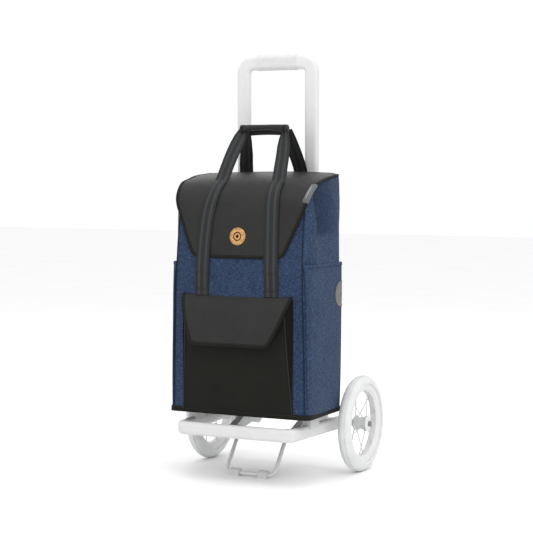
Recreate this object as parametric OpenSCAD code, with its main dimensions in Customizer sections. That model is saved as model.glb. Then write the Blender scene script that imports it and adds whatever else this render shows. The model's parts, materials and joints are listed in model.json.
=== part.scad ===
// Shopping trolley: a fabric bag on a folding frame with two wheels.
// Millimetres. The origin is on the ground, midway across, midway front to back.
// -Y is the front, with the pocket. +Y is the back, with the wheels and the handle.

/* [Bag] */
// Width of the bag across the side panels
bag_w = 381; // [370:1:384]
// Depth of the bag, front panel to back panel
bag_d = 200; // [190:1:205]
// Height of the bag's base above the ground
bag_base_z = 167; // [167:1:170]
// Height of the back panel's top edge above the ground
bag_rim_z = 768; // [760:1:776]
// Thickness of the padded bag panels
panel_t = 3.5; // [3:0.5:4]

/* [Pockets] */
// Half the width of the front pocket
pocket_half_w = 152; // [140:1:155]
// How far the front pocket stands proud at its top
pocket_depth = 18.5; // [14:0.5:20]
// Height of the front pocket's open top
pocket_top_z = 424; // [410:1:428]
// Height of the side pockets' open edge
side_pocket_z = 549; // [500:1:560]

/* [Straps] */
// Width of the carrying straps
strap_w = 38; // [34:1:40]
// Distance of the front straps from the middle
strap_x = 97; // [95:1:100]
// Radius of the wrapped grip that joins the front straps
grip_r = 12; // [10:0.5:12]

/* [Frame] */
// Distance of the uprights from the middle
upright_x = 98; // [96:1:100]
// Width of the flat-oval frame tube
tube_w = 38; // [34:1:38]
// Depth of the flat-oval frame tube
tube_d = 20; // [18:1:20]
// Wall of the frame tubes
tube_wall = 1.6; // [1.2:0.1:2]
// Overall height to the top of the handle
handle_top_z = 1080; // [1060:1:1100]
// Height of the fold in the uprights
fold_z = 680; // [676:1:684]

/* [Wheels] */
// Outer radius of the tyres
wheel_r = 125; // [122:1:125]
// Distance of the wheels' middle planes from the middle
wheel_x = 221; // [221:1:224]
// Radius of the axle
axle_r = 6; // [5:0.5:6]

/* [Platform] */
// Half the outer width of the folding platform at its front corners
platform_half_w = 166.5; // [160:0.5:170]
// Height of the platform tube's oval section
platform_h = 34; // [28:1:34]
// How far the platform's side bars flare outwards, in degrees
flare = 4; // [3:0.5:4]

/* [Hidden] */
$fn = 64;

// Frame positions, front to back
bag_front_y = -171.5;
bag_back_y = bag_front_y + bag_d;
upright_y = 57.5;
axle_y = 98.5;
axle_z = wheel_r;
platform_front_y = -190;
platform_z = 129;

// Fits
slip = 0.05;
gap = 0.3;

// Flap and side pockets
flap_gap = 0.5;
side_mouth = 5.5;
side_skin_t = 1.5;
flap_t = 3.5;
flap_low_z = 562;

// Handle fold
fold_y = 73;
knuckle_w = 42;
knuckle_d = 28;
barrel_r = 8;
leg_low_z = 704;
lower_knuckle_z = 640;
upright_top_z = 668;
bow_r = 28;
lock_z = 692;

// Axle brackets and stand
upright_low_z = 150;
bracket_w = 44;
arm_x = 88;
arm_w = 20;
stand_y = -25;
stand_z = 108;
stand_x = 69;
stand_rod_r = 5;
stand_bend = 16;
stand_pin_r = 4;
foot_y = -105;
foot_z = 9;

// Wheel, as distances from the wheel's middle plane
tyre_w = 34;
tyre_in_r = wheel_r - 22;
rim_in_r = wheel_r - 41;
hub_r = 16;
hub_half = 18;
flange_r = 20;
bearing_r = 14;
bearing_w = 8;
spokes = 12;
spoke_r = 1.3;
button_r = 7;

// Platform corner
platform_t = 20;
corner_r = 16;
corner_x = platform_half_w - corner_r - platform_t / 2;
corner_y = platform_front_y + corner_r;
bar_start = [corner_x + corner_r * cos(flare), corner_y - corner_r * sin(flare)];
bar_end_y = 72;
bar_len = (bar_end_y - bar_start[1]) / cos(flare);
eye_x = bar_start[0] + tan(flare) * (axle_y - bar_start[1]);
eye_w = 20;

// Cross tubes and hooks
cross_r = 8;
low_cross_z = 215;
high_cross_z = 640;
hook_x = 45;
hook_w = 24;

// Front pocket
pocket_low_z = 171;
pocket_t = 3;
pocket_foot_y = bag_front_y - 4;
pocket_top_y = bag_front_y - pocket_depth;
pocket_turn = 38;
pocket_hinge = [-175, 471];

// Strap loops
strap_t = 2.6;
front_loop_low_z = 480;
grip_y = -22;
grip_z = 886;
grip_half = 69;
rear_strap_x = 78;
rear_strap_y = 30.3;
rear_band_y = -5.5;

// Colours
frame_grey = "#e2e3e3";
fitting_grey = "#d5d6d6";
tyre_grey = "#cfd0d0";
blue = "#3c5378";
side_blue = "#4a5f80";
black = "#26261f";
charcoal = "#3c3d3b";
webbing = "#45484a";
cork = "#d8a066";

// ---- Helpers ----

// Extrudes an outline given as [y, z] across the trolley, centred on x
module along_x(width, x = 0) {
    translate([x, 0, 0]) rotate([90, 0, 90]) linear_extrude(width, center = true) children();
}

// Extrudes an outline given as [x, z] from front to back
module along_y(depth) {
    rotate([90, 0, 0]) linear_extrude(depth, center = true) children();
}

// A cylinder along X from x0 to x1, its axis at [y, z]
module rod_x(r, x0, x1, at) {
    translate([x0, at[0], at[1]]) rotate([0, 90, 0]) cylinder(r = r, h = x1 - x0);
}

// Draws the right-hand part where it is, or mirrored onto the left
module side(s) {
    if (s < 0) mirror([1, 0, 0]) children();
    else children();
}

module both_sides() {
    for (s = [-1, 1]) side(s) children();
}

// Flat-oval section, w by d over all
module flat_oval(w, d) {
    square([w - d, d], center = true);
    for (s = [-1, 1]) translate([s * (w - d) / 2, 0]) circle(d = d);
}

function unit(v) = v / norm(v);
function left_of(v) = [-v[1], v[0]];
function heading(p, i) = unit(
    (i == 0 ? [0, 0] : unit(p[i] - p[i - 1]))
    + (i == len(p) - 1 ? [0, 0] : unit(p[i + 1] - p[i])));
function shifted(p, d) = [
    for (i = [0 : len(p) - 1])
        let (t = heading(p, i), s = i == 0 ? unit(p[1] - p[0]) : unit(p[i] - p[i - 1]))
            p[i] + left_of(t) * d / (t * s)];
function reversed(p) = [for (i = [len(p) - 1 : -1 : 0]) p[i]];

// Outline of a sheet that follows a path, from d0 to d1 to its left
function sheet(p, d0, d1) = concat(shifted(p, d0), reversed(shifted(p, d1)));

// The bag's profile as [y, z], from its top back edge over the roof and down the leaning front
face = [
    [bag_back_y, bag_rim_z], [0, 766], [-40, 762], [-76, 755], [-100, 746.5], [-119, 735],
    [-134, 720], [-145, 702], [-152, 680], [-157, 655], [-161.5, 625], [-165.5, 590],
    [-169, 545], [bag_front_y, 490]];
mouth_first = 6;

// ---- Frame ----

module upright(s) {
    color(frame_grey) side(s) translate([upright_x, upright_y, upright_low_z])
        linear_extrude(upright_top_z - upright_low_z) difference() {
            flat_oval(tube_w, tube_d);
            flat_oval(tube_w - 2 * tube_wall, tube_d - 2 * tube_wall);
        }
}

// A round tube between the uprights, its ends shaped to their sides
module cross_tube(z) {
    color(frame_grey) difference() {
        rod_x(cross_r, -upright_x, upright_x, [upright_y, z]);
        rod_x(cross_r - tube_wall, -upright_x - 1, upright_x + 1, [upright_y, z]);
        both_sides() translate([upright_x, upright_y, z]) linear_extrude(60, center = true)
            flat_oval(tube_w, tube_d);
    }
}

// Holds the upright and the axle, with an arm forward to the stand's pivot
module axle_bracket(s) {
    color(fitting_grey) side(s) difference() {
        union() {
            along_x(bracket_w, upright_x) {
                translate([axle_y, axle_z]) circle(20);
                polygon([[43, 120], [90, 107], [112, 138], [84, 166], [72, 205], [43, 205]]);
            }
            along_x(arm_w, arm_x) {
                translate([stand_y, stand_z]) circle(10);
                polygon([[stand_y, stand_z - 10], [60, 112], [60, 150], [stand_y, stand_z + 10]]);
            }
        }
        translate([upright_x, upright_y, upright_low_z]) linear_extrude(60) flat_oval(tube_w, tube_d);
        rod_x(axle_r + slip, 0, 200, [axle_y, axle_z]);
        rod_x(stand_pin_r + slip, 60, 120, [stand_y, stand_z]);
    }
}

module axle() {
    groove_x = wheel_x + 8.6;
    color("silver") difference() {
        rod_x(axle_r, -wheel_x - 9.6, wheel_x + 9.6, [axle_y, axle_z]);
        both_sides() difference() {
            rod_x(axle_r + 1, groove_x - 0.6, groove_x + 0.2, [axle_y, axle_z]);
            rod_x(axle_r - 0.8, groove_x - 1, groove_x + 1, [axle_y, axle_z]);
        }
    }
}

// Keep the brackets, the platform eyes and the wheels apart on the axle
module axle_spacers() {
    spans = [
        [upright_x + bracket_w / 2, eye_x - eye_w / 2 - gap],
        [eye_x + eye_w / 2 + gap, wheel_x - hub_half - gap]];
    color(fitting_grey) both_sides() for (span = spans) difference() {
        rod_x(9, span[0], span[1], [axle_y, axle_z]);
        rod_x(axle_r + slip, span[0] - 1, span[1] + 1, [axle_y, axle_z]);
    }
}

// Lower half of the handle's fold, round the upright's top
module lower_knuckle(s) {
    top = fold_z - gap / 2;
    color(fitting_grey) side(s) difference() {
        union() {
            translate([upright_x, upright_y, lower_knuckle_z + 12])
                linear_extrude(top - lower_knuckle_z - 12) flat_oval(knuckle_w, knuckle_d);
            for (x = [77, 109]) rod_x(barrel_r, x, x + 10, [fold_y, fold_z]);
        }
        translate([upright_x, upright_y, lower_knuckle_z])
            linear_extrude(upright_top_z - lower_knuckle_z) flat_oval(tube_w, tube_d);
        rod_x(barrel_r + gap, 87, 109, [fold_y, fold_z]);
        rod_x(3 + slip, 70, 125, [fold_y, fold_z]);
    }
}

// Upper half of the fold, round the handle's leg, with the lock button's bore
module upper_knuckle(s) {
    low = fold_z + gap / 2;
    color(fitting_grey) side(s) difference() {
        union() {
            difference() {
                translate([upright_x, upright_y, low]) linear_extrude(722 - low)
                    flat_oval(knuckle_w, knuckle_d);
                rod_x(barrel_r + gap, 70, 87.2, [fold_y, fold_z]);
                rod_x(barrel_r + gap, 108.8, 125, [fold_y, fold_z]);
            }
            rod_x(barrel_r, 87.3, 108.7, [fold_y, fold_z]);
        }
        translate([upright_x, upright_y, leg_low_z]) linear_extrude(20) flat_oval(tube_w, tube_d);
        rod_x(3 + slip, 70, 125, [fold_y, fold_z]);
        rod_x(6 + slip, 106, 125, [upright_y, lock_z]);
    }
}

module lock_button(s) {
    color("dimgray") side(s) {
        rod_x(6, 110, 122, [upright_y, lock_z]);
        translate([122, upright_y, lock_z]) rotate([0, 90, 0]) cylinder(r1 = 6, r2 = 5, h = 1);
    }
}

module fold_pins() {
    color("silver") both_sides() {
        rod_x(3, 75.5, 120.5, [fold_y, fold_z]);
        for (x = [75.5, 119]) rod_x(5, x, x + 1.5, [fold_y, fold_z]);
    }
}

module stand_pins() {
    color("silver") both_sides() {
        rod_x(stand_pin_r, 61, 99.5, [stand_y, stand_z]);
        rod_x(6, 61, 62.5, [stand_y, stand_z]);
        rod_x(6, 98.1, 99.5, [stand_y, stand_z]);
    }
}

// ---- Folding platform ----

// The platform's bent tube as a solid, its oval section shrunk by d all round
module platform_solid(d) {
    extra = d > 0 ? 1 : 0;
    translate([0, platform_front_y, platform_z]) rotate([90, 0, 90])
        linear_extrude(2 * corner_x, center = true) rotate(90)
            flat_oval(platform_h - 2 * d, platform_t - 2 * d);
    both_sides() {
        translate([corner_x, corner_y, platform_z]) rotate(-90) rotate_extrude(angle = 90 - flare)
            translate([corner_r, 0]) rotate(90) flat_oval(platform_h - 2 * d, platform_t - 2 * d);
        translate([bar_start[0], bar_start[1], platform_z]) rotate(-flare) rotate([-90, 0, 0])
            linear_extrude(bar_len + extra) rotate(90)
                flat_oval(platform_h - 2 * d, platform_t - 2 * d);
    }
}

module platform_bow() {
    color(frame_grey) difference() {
        platform_solid(0);
        platform_solid(tube_wall);
    }
}

// Solid ends of the platform, turning on the axle
module platform_eyes() {
    reach = (axle_y - bar_end_y) / cos(flare);
    color(fitting_grey) both_sides() difference() {
        union() {
            rod_x(18, eye_x - eye_w / 2, eye_x + eye_w / 2, [axle_y, axle_z]);
            intersection() {
                translate([bar_start[0], bar_start[1], platform_z]) rotate(-flare) rotate([-90, 0, 0])
                    translate([0, 0, bar_len]) linear_extrude(reach) rotate(90)
                        flat_oval(platform_h, platform_t);
                translate([eye_x - eye_w / 2 - 2, 0, 0]) cube([eye_w + 2, axle_y, 200]);
            }
        }
        rod_x(axle_r + slip, 0, 230, [axle_y, axle_z]);
        rod_x(11, 100, eye_x - eye_w / 2, [axle_y, axle_z]);
    }
}

// Rubber blocks on the side bars that the bag's base stands on
module support_pads() {
    color(tyre_grey) both_sides() difference() {
        translate([163 - 11, -112, platform_z + 6]) cube([22, 52, bag_base_z - gap - platform_z - 6]);
        platform_solid(0);
    }
}

// ---- Wheels ----

module tyre(s) {
    color(tyre_grey) side(s) translate([wheel_x, axle_y, axle_z]) rotate([0, 90, 0])
        rotate_extrude($fn = 96) difference() {
            translate([wheel_r - tyre_w / 2, 0]) circle(tyre_w / 2);
            translate([0, -tyre_w]) square([tyre_in_r, 2 * tyre_w]);
            for (x = [-6, 6]) translate([wheel_r - 2.4, x - 0.8]) square([4, 1.6]);
        }
}

module rim(s) {
    color(frame_grey) side(s) translate([wheel_x, axle_y, axle_z]) rotate([0, 90, 0])
        rotate_extrude($fn = 96) polygon([
            [rim_in_r, -7], [rim_in_r, 7], [rim_in_r + 6, 12], [tyre_in_r, 13],
            [tyre_in_r, -13], [rim_in_r + 6, -12]]);
}

module hub(s) {
    mid = wheel_x;
    color(fitting_grey) side(s) difference() {
        union() {
            rod_x(hub_r, mid - hub_half, mid + hub_half, [axle_y, axle_z]);
            for (x = [-15, 12]) rod_x(flange_r, mid + x, mid + x + 3, [axle_y, axle_z]);
        }
        rod_x(bearing_r - 1.4, mid - hub_half - 1, mid + hub_half + 1, [axle_y, axle_z]);
        rod_x(bearing_r, mid - hub_half - 1, mid - 9, [axle_y, axle_z]);
        rod_x(bearing_r, mid, mid + hub_half + 1, [axle_y, axle_z]);
    }
}

// Wire spokes, in turn from the inner and the outer hub flange
module spoke_set(s) {
    color("silver") side(s) translate([wheel_x, axle_y, axle_z]) for (i = [0 : spokes - 1]) {
        flank = i % 2 == 0 ? -1 : 1;
        lean = flank * (13.5 - 4);
        span = rim_in_r + 3 - flange_r + 3;
        rotate([(i + 0.5) * 360 / spokes, 0, 0]) intersection() {
            translate([flank * 13.5, 0, flange_r - 3]) rotate([0, -atan2(lean, span), 0])
                cylinder(r = spoke_r, h = norm([lean, span]), $fn = 16);
            rotate([0, 90, 0]) linear_extrude(40, center = true) difference() {
                circle(rim_in_r);
                circle(flange_r);
            }
        }
    }
}

module bearings(s) {
    color("silver") side(s) for (x = [wheel_x - 17, wheel_x]) difference() {
        rod_x(bearing_r, x, x + bearing_w, [axle_y, axle_z]);
        rod_x(axle_r + slip, x - 1, x + bearing_w + 1, [axle_y, axle_z]);
    }
}

module hub_cap(s) {
    face = wheel_x + hub_half;
    color(frame_grey) side(s) difference() {
        union() {
            rod_x(flange_r, face, face + 2, [axle_y, axle_z]);
            translate([face + 2, axle_y, axle_z]) rotate([0, 90, 0])
                cylinder(r1 = flange_r, r2 = flange_r - 4, h = 2.5);
        }
        rod_x(button_r + 0.1, face - 1, face + 6, [axle_y, axle_z]);
    }
}

// Frees the wheel from the axle when it is pressed
module wheel_button(s) {
    face = wheel_x + hub_half;
    color(fitting_grey) side(s) {
        rod_x(9.5, face - 3.5, face - gap, [axle_y, axle_z]);
        rod_x(button_r, face - 3.5, face + 9, [axle_y, axle_z]);
        translate([face + 9, axle_y, axle_z]) rotate([0, 90, 0])
            cylinder(r1 = button_r, r2 = button_r - 1.5, h = 1.5);
    }
}

// ---- Handle ----

// The handle's bent tube as a solid, its oval section shrunk by d all round
module bow_solid(d) {
    w = tube_w - 2 * d;
    t = tube_d - 2 * d;
    extra = d > 0 ? 1 : 0;
    corner_z = handle_top_z - tube_w / 2 - bow_r;
    bow_corner_x = upright_x - bow_r;
    translate([0, upright_y, 0]) {
        translate([0, 0, handle_top_z - tube_w / 2]) rotate([90, 0, 90])
            linear_extrude(2 * bow_corner_x, center = true) rotate(90) flat_oval(w, t);
        both_sides() {
            translate([upright_x, 0, leg_low_z - extra])
                linear_extrude(corner_z - leg_low_z + extra) flat_oval(w, t);
            translate([bow_corner_x, 0, corner_z]) rotate([90, 0, 0]) rotate_extrude(angle = 90)
                translate([bow_r, 0]) flat_oval(w, t);
        }
    }
}

module handle_bow() {
    color(frame_grey) difference() {
        bow_solid(0);
        bow_solid(tube_wall);
    }
}

module handle_sleeve() {
    color(frame_grey) translate([0, upright_y, handle_top_z - tube_w / 2]) rotate([90, 0, 90])
        linear_extrude(112, center = true) rotate(90) difference() {
            flat_oval(tube_w + 3, tube_d + 3);
            flat_oval(tube_w, tube_d);
        }
}

// ---- Stand ----

module stand_bow() {
    lean = atan2(stand_y - foot_y, stand_z - foot_z);
    reach = norm([stand_y - foot_y, stand_z - foot_z]);
    color(frame_grey) difference() {
        union() {
            translate([0, foot_y, foot_z]) rotate([-lean, 0, 0]) {
                rotate([0, 90, 0])
                    cylinder(r = stand_rod_r, h = 2 * (stand_x - stand_bend), center = true);
                both_sides() {
                    translate([stand_x - stand_bend, 0, stand_bend]) rotate([90, 0, 0])
                        rotate([0, 0, -90]) rotate_extrude(angle = 90)
                            translate([stand_bend, 0]) circle(stand_rod_r);
                    translate([stand_x, 0, stand_bend])
                        cylinder(r = stand_rod_r, h = reach - stand_bend);
                }
            }
            both_sides() rod_x(9, 63, 77.7, [stand_y, stand_z]);
        }
        both_sides() rod_x(stand_pin_r + slip, 50, 90, [stand_y, stand_z]);
    }
}

// Rubber feet with a flat sole at ground level
module stand_feet() {
    color(tyre_grey) both_sides() along_x(24, 40) difference() {
        union() {
            translate([foot_y - 11, 0]) square([22, foot_z]);
            translate([foot_y, foot_z]) circle(11);
        }
        translate([foot_y, foot_z]) circle(stand_rod_r + 0.15);
        translate([foot_y - 20, -20]) square([40, 20]);
    }
}

// ---- Bag ----

module bag_front() {
    color(blue) along_x(bag_w - 2 * panel_t) polygon(sheet(
        concat([for (i = [mouth_first : len(face) - 1]) face[i]], [[bag_front_y, bag_base_z]]),
        0, panel_t));
}

module bag_back() {
    inner_y = bag_back_y - panel_t;
    color(charcoal) along_x(bag_w - 2 * panel_t) polygon([
        [inner_y, bag_base_z], [bag_back_y, bag_base_z],
        [bag_back_y, bag_rim_z], [inner_y, bag_rim_z - 0.1 * panel_t]]);
}

module bag_side(s) {
    color(side_blue) along_x(panel_t, s * (bag_w - panel_t) / 2)
        polygon(concat(face, [[bag_front_y, bag_base_z], [bag_back_y, bag_base_z]]));
}

module bag_base() {
    color(black) translate([-bag_w / 2 + panel_t, bag_front_y + panel_t, bag_base_z])
        cube([bag_w - 2 * panel_t, bag_d - 2 * panel_t, panel_t]);
}

// Loose stiffening board on the bag's base
module base_board() {
    edge = panel_t + 4;
    color("dimgray") translate([-bag_w / 2 + edge, bag_front_y + edge, bag_base_z + panel_t])
        cube([bag_w - 2 * edge, bag_d - 2 * edge, 4]);
}

// Pocket front, its sides cut to meet the slanting gussets
module pocket_front() {
    color(black) difference() {
        along_x(2 * pocket_half_w)
            polygon(sheet([[pocket_top_y, pocket_top_z], [pocket_foot_y, pocket_low_z]], 0, pocket_t));
        both_sides() gusset(0.05, 40, 30);
    }
}

// A gusset plate, with e off its inner face, t thick, and deeper by d than it is
module gusset(e, t, d) {
    top = (pocket_depth - 0.3) / cos(pocket_turn);
    foot = (bag_front_y - pocket_foot_y - 0.3) / cos(pocket_turn);
    translate([pocket_half_w, bag_front_y - 0.3, 0]) rotate([0, 0, -pocket_turn])
        translate([-pocket_t - e, 0, 0]) rotate([90, 0, 90]) linear_extrude(t + e)
            polygon([[0, pocket_low_z - d], [-foot - d, pocket_low_z - d],
                [-top - d, pocket_top_z + d], [0, pocket_top_z + d]]);
}

// Both gussets, cut flat where they stand against the bag
module pocket_gussets() {
    color(black) difference() {
        both_sides() gusset(0, pocket_t, 0);
        translate([-bag_w / 2, bag_front_y - 0.3, pocket_low_z - 10])
            cube([bag_w, 20, pocket_top_z - pocket_low_z + 20]);
    }
}

// Outer skin of a side pocket, standing off a little more towards its open edge
module side_pocket(s) {
    low = bag_w / 2 + gap;
    color(side_blue) side(s) translate([0, bag_front_y + bag_d / 2, 0])
        along_y(bag_d - 8) polygon(leaning_skin(low, side_skin_t));
}

// Section of a skin that leans out to the side pocket's mouth, its inner foot at x
function leaning_skin(x, t) = [
    [x, 172], [x + t, 172],
    [x + side_mouth + t, side_pocket_z], [x + side_mouth, side_pocket_z]];

// D-shaped patch at the side pocket's back edge, lying on its face
module reflector(s) {
    color("#8d8c88") side(s) intersection() {
        along_y(200) polygon(leaning_skin(bag_w / 2 + gap + side_skin_t + 0.05, 1.2));
        along_x(60, bag_w / 2) intersection() {
            union() {
                translate([0, 469]) circle(30.5);
                translate([0, 438.5]) square([40, 61]);
            }
            translate([-40, 400]) square([bag_back_y + 35.5, 150]);
        }
    }
}

// Plastic hooks on the back panel, open downwards over the upper cross tube
module hanging_hooks() {
    tube = [upright_y, high_cross_z];
    bore = cross_r + 0.4;
    color(black) both_sides() along_x(hook_w, hook_x) difference() {
        union() {
            translate([bag_back_y, 600]) square([3.5, 62]);
            translate([bag_back_y + 1, high_cross_z + 1]) square([24, 10]);
            translate(tube) circle(bore + 4);
            translate([tube[0] - bore - 4, tube[1] - 9]) square([2 * bore + 8, 9]);
        }
        translate(tube) circle(bore);
        translate([tube[0] - bore, tube[1] - 20]) square([2 * bore, 20]);
    }
}

// ---- Main flap ----

// Half of the flap's front outline, as [x, z], from the roof down to the middle
function flap_half() = concat(
    [[bag_w / 2, 800], [bag_w / 2, 748], [183, 706], [177.5, 684], [161, 642]],
    [for (a = [-24 : -11 : -90]) [107.2 + 28 * cos(a), flap_low_z + 28 + 28 * sin(a)]]);

module main_flap() {
    half = flap_half();
    color(charcoal) intersection() {
        along_x(bag_w) polygon(sheet(face, -flap_gap - flap_t, -flap_gap));
        along_y(600) polygon(concat(half, [for (p = reversed(half)) [-p[0], p[1]]]));
    }
}

// Round patch, leaning back with the flap
module badge() {
    color(cork) translate([0, -166.6, 618]) rotate([90 - 7.5, 0, 0]) {
        cylinder(r = 22, h = 2.4);
        cylinder(r = 20.5, h = 3);
    }
}

// Folded ribbon sewn along the flap's slanting right edge
module edge_tag() {
    near = flap_gap + flap_t + 0.2;
    color("silver") intersection() {
        along_x(400) polygon(sheet(face, -near - 1.2, -near));
        translate([177.6, -120, 723.5]) rotate([0, 10, 0]) cube([15, 140, 44], center = true);
    }
}

// ---- Carrying straps ----

// Low part of a front strap, in front of the flap, as [y, z]
front_path = [
    [-174.7, front_loop_low_z], [-174.5, 531], [-181.5, 566], [-181, 600], [-177, 640],
    [-170, 676], [-158, 700]];

// A short piece of strap, square across, at [x, y, z]
module strap_end(at) {
    translate(at) cube([strap_w, strap_t, strap_t], center = true);
}

module front_strap(s) {
    last = front_path[len(front_path) - 1];
    color(webbing) side(s) difference() {
        union() {
            along_x(strap_w, strap_x) polygon(sheet(front_path, -strap_t / 2, strap_t / 2));
            hull() {
                strap_end([strap_x, last[0], last[1]]);
                strap_end([51, grip_y, grip_z]);
            }
        }
        rod_x(grip_r, -grip_half, grip_half, [grip_y, grip_z]);
    }
}

module grip_wrap() {
    color(charcoal) {
        rod_x(grip_r, -grip_half + 2, grip_half - 2, [grip_y, grip_z]);
        both_sides() translate([grip_half - 2, grip_y, grip_z]) rotate([0, 90, 0])
            cylinder(r1 = grip_r, r2 = grip_r - 2, h = 2);
    }
}

module rear_strap(s) {
    foot_z = 757.2;
    knee_z = 782;
    color(webbing) side(s) {
        translate([rear_strap_x - strap_w / 2, rear_strap_y - strap_t / 2, foot_z])
            cube([strap_w, strap_t, knee_z - foot_z]);
        hull() {
            strap_end([rear_strap_x, rear_strap_y, knee_z]);
            strap_end([58, rear_band_y, 884]);
        }
    }
}

module rear_band() {
    half = 58 - strap_w / 2 - 0.1;
    color(webbing) translate([-half, rear_band_y - strap_t / 2, 862])
        cube([2 * half, strap_t, 36]);
}

// ---- Pocket flap ----

module pocket_flap() {
    path = [
        pocket_hinge, [-184, 461], [-193, 446], [-201, 425], [-207, 402], [-213, 378], [-219, 352]];
    corner = [for (a = [-25 : -13 : -90]) [93.3 + 22 * cos(a), 374 + 22 * sin(a)]];
    half = concat([[153, 480], [153, 464], [135, 411]], corner);
    color(charcoal) intersection() {
        along_x(306) polygon(sheet(path, 0, 3));
        along_y(600) polygon(concat(half, [for (p = reversed(half)) [-p[0], p[1]]]));
    }
}

upright(-1);  // upright_left
upright(1);  // upright_right
cross_tube(low_cross_z);  // lower_cross_tube
cross_tube(high_cross_z);  // upper_cross_tube
axle_bracket(-1);  // axle_bracket_left
axle_bracket(1);  // axle_bracket_right
axle();
axle_spacers();
lower_knuckle(-1);  // lower_knuckle_left
lower_knuckle(1);  // lower_knuckle_right
fold_pins();
stand_pins();
platform_bow();
platform_eyes();
support_pads();
tyre(-1);  // tyre_left
tyre(1);  // tyre_right
rim(-1);  // rim_left
rim(1);  // rim_right
spoke_set(-1);  // spokes_left
spoke_set(1);  // spokes_right
hub(-1);  // hub_left
hub(1);  // hub_right
bearings(-1);  // bearings_left
bearings(1);  // bearings_right
hub_cap(-1);  // hub_cap_left
hub_cap(1);  // hub_cap_right
wheel_button(-1);  // wheel_button_left
wheel_button(1);  // wheel_button_right
handle_bow();
handle_sleeve();
upper_knuckle(-1);  // upper_knuckle_left
upper_knuckle(1);  // upper_knuckle_right
lock_button(-1);  // lock_button_left
lock_button(1);  // lock_button_right
stand_bow();
stand_feet();
bag_front();
bag_back();
bag_side(-1);  // bag_side_left
bag_side(1);  // bag_side_right
bag_base();
base_board();
pocket_front();
pocket_gussets();
side_pocket(-1);  // side_pocket_left
side_pocket(1);  // side_pocket_right
reflector(-1);  // reflector_left
reflector(1);  // reflector_right
hanging_hooks();
main_flap();
badge();
edge_tag();
front_strap(-1);  // front_strap_left
front_strap(1);  // front_strap_right
grip_wrap();
rear_strap(-1);  // rear_strap_left
rear_strap(1);  // rear_strap_right
rear_band();
pocket_flap();
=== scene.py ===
import json
import math

import bmesh
import bpy
import numpy as np
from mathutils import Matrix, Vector


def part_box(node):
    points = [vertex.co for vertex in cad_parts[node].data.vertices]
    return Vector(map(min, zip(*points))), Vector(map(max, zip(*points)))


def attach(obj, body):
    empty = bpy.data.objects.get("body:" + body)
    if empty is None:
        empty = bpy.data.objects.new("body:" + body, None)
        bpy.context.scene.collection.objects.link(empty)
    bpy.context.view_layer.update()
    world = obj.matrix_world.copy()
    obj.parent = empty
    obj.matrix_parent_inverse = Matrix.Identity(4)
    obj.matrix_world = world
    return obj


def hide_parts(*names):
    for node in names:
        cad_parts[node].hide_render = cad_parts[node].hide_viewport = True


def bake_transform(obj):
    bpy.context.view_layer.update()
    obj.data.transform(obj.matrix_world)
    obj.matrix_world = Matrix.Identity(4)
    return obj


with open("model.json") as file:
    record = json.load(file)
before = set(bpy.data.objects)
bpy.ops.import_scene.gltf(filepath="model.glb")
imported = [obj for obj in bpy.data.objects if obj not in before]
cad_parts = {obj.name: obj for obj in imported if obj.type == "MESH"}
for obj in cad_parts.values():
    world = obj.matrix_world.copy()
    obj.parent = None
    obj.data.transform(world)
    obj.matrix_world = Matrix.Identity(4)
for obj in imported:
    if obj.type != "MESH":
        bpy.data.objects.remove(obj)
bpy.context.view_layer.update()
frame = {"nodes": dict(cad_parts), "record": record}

# ---------------------------------------------------------------- sizes, in metres

SIDE_LOW, SIDE_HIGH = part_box("bag_side_right")
HALF_W = SIDE_HIGH[0]
FRONT_Y, BACK_Y = SIDE_LOW[1], SIDE_HIGH[1]
BASE_Z, RIM_Z = SIDE_LOW[2], SIDE_HIGH[2]
DEPTH = BACK_Y - FRONT_Y
SIDE_POCKET_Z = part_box("side_pocket_right")[1][2]
FLAP_LOW_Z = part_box("main_flap")[0][2]
POCKET_LOW, POCKET_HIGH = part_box("pocket_front")
COVER_TOP_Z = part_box("pocket_flap")[1][2]
STRAP_LOW_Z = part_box("front_strap_right")[0][2]
GRIP_LOW, GRIP_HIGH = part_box("grip_wrap")
GRIP_Y = (GRIP_LOW[1] + GRIP_HIGH[1]) / 2
STRAP_W = 0.0385
SIDES = ((-1, "left"), (1, "right"))
# Distance of a strap's two raised ribs from its middle line
RIB_X = 0.0085
CURVE_STEP = 0.004

# The bag's profile as (y, z), from its top back edge over the roof and down the leaning front
FACE = [(BACK_Y, RIM_Z), (0, 0.766), (-0.040, 0.762), (-0.076, 0.755), (-0.100, 0.7465), (-0.119, 0.735),
        (-0.134, 0.720), (-0.145, 0.702), (-0.152, 0.680), (-0.157, 0.655), (-0.1615, 0.625),
        (-0.1655, 0.590), (-0.169, 0.545), (FRONT_Y, 0.490), (FRONT_Y, 0.400)]
# The front panel's top edge, and the height where the front's bulge has died out
MOUTH_Z = 0.720
EAVES_Z = 0.690
# How far the panels at a rounded upright edge have turned where their seam runs
SEAM_TURN = math.radians(30)


# ---------------------------------------------------------------- mesh helpers

def mesh_object(name, verts, faces, smooth=True):
    """A new object in the scene with this mesh."""
    mesh = bpy.data.meshes.new(name)
    mesh.from_pydata([tuple(v) for v in verts], [], faces)
    mesh.validate()
    mesh.update()
    obj = bpy.data.objects.new(name, mesh)
    bpy.context.scene.collection.objects.link(obj)
    for poly in mesh.polygons:
        poly.use_smooth = smooth
    return obj


def grid_object(name, rows, wrap=False):
    """A sheet from rows of points, closed into a tube with wrap."""
    rows = np.asarray(rows, float)
    n, m = rows.shape[:2]
    faces = []
    for i in range(n - 1):
        for j in range(m if wrap else m - 1):
            k = (j + 1) % m
            faces.append((i * m + j, i * m + k, (i + 1) * m + k, (i + 1) * m + j))
    return mesh_object(name, rows.reshape(-1, 3), faces)


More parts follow.
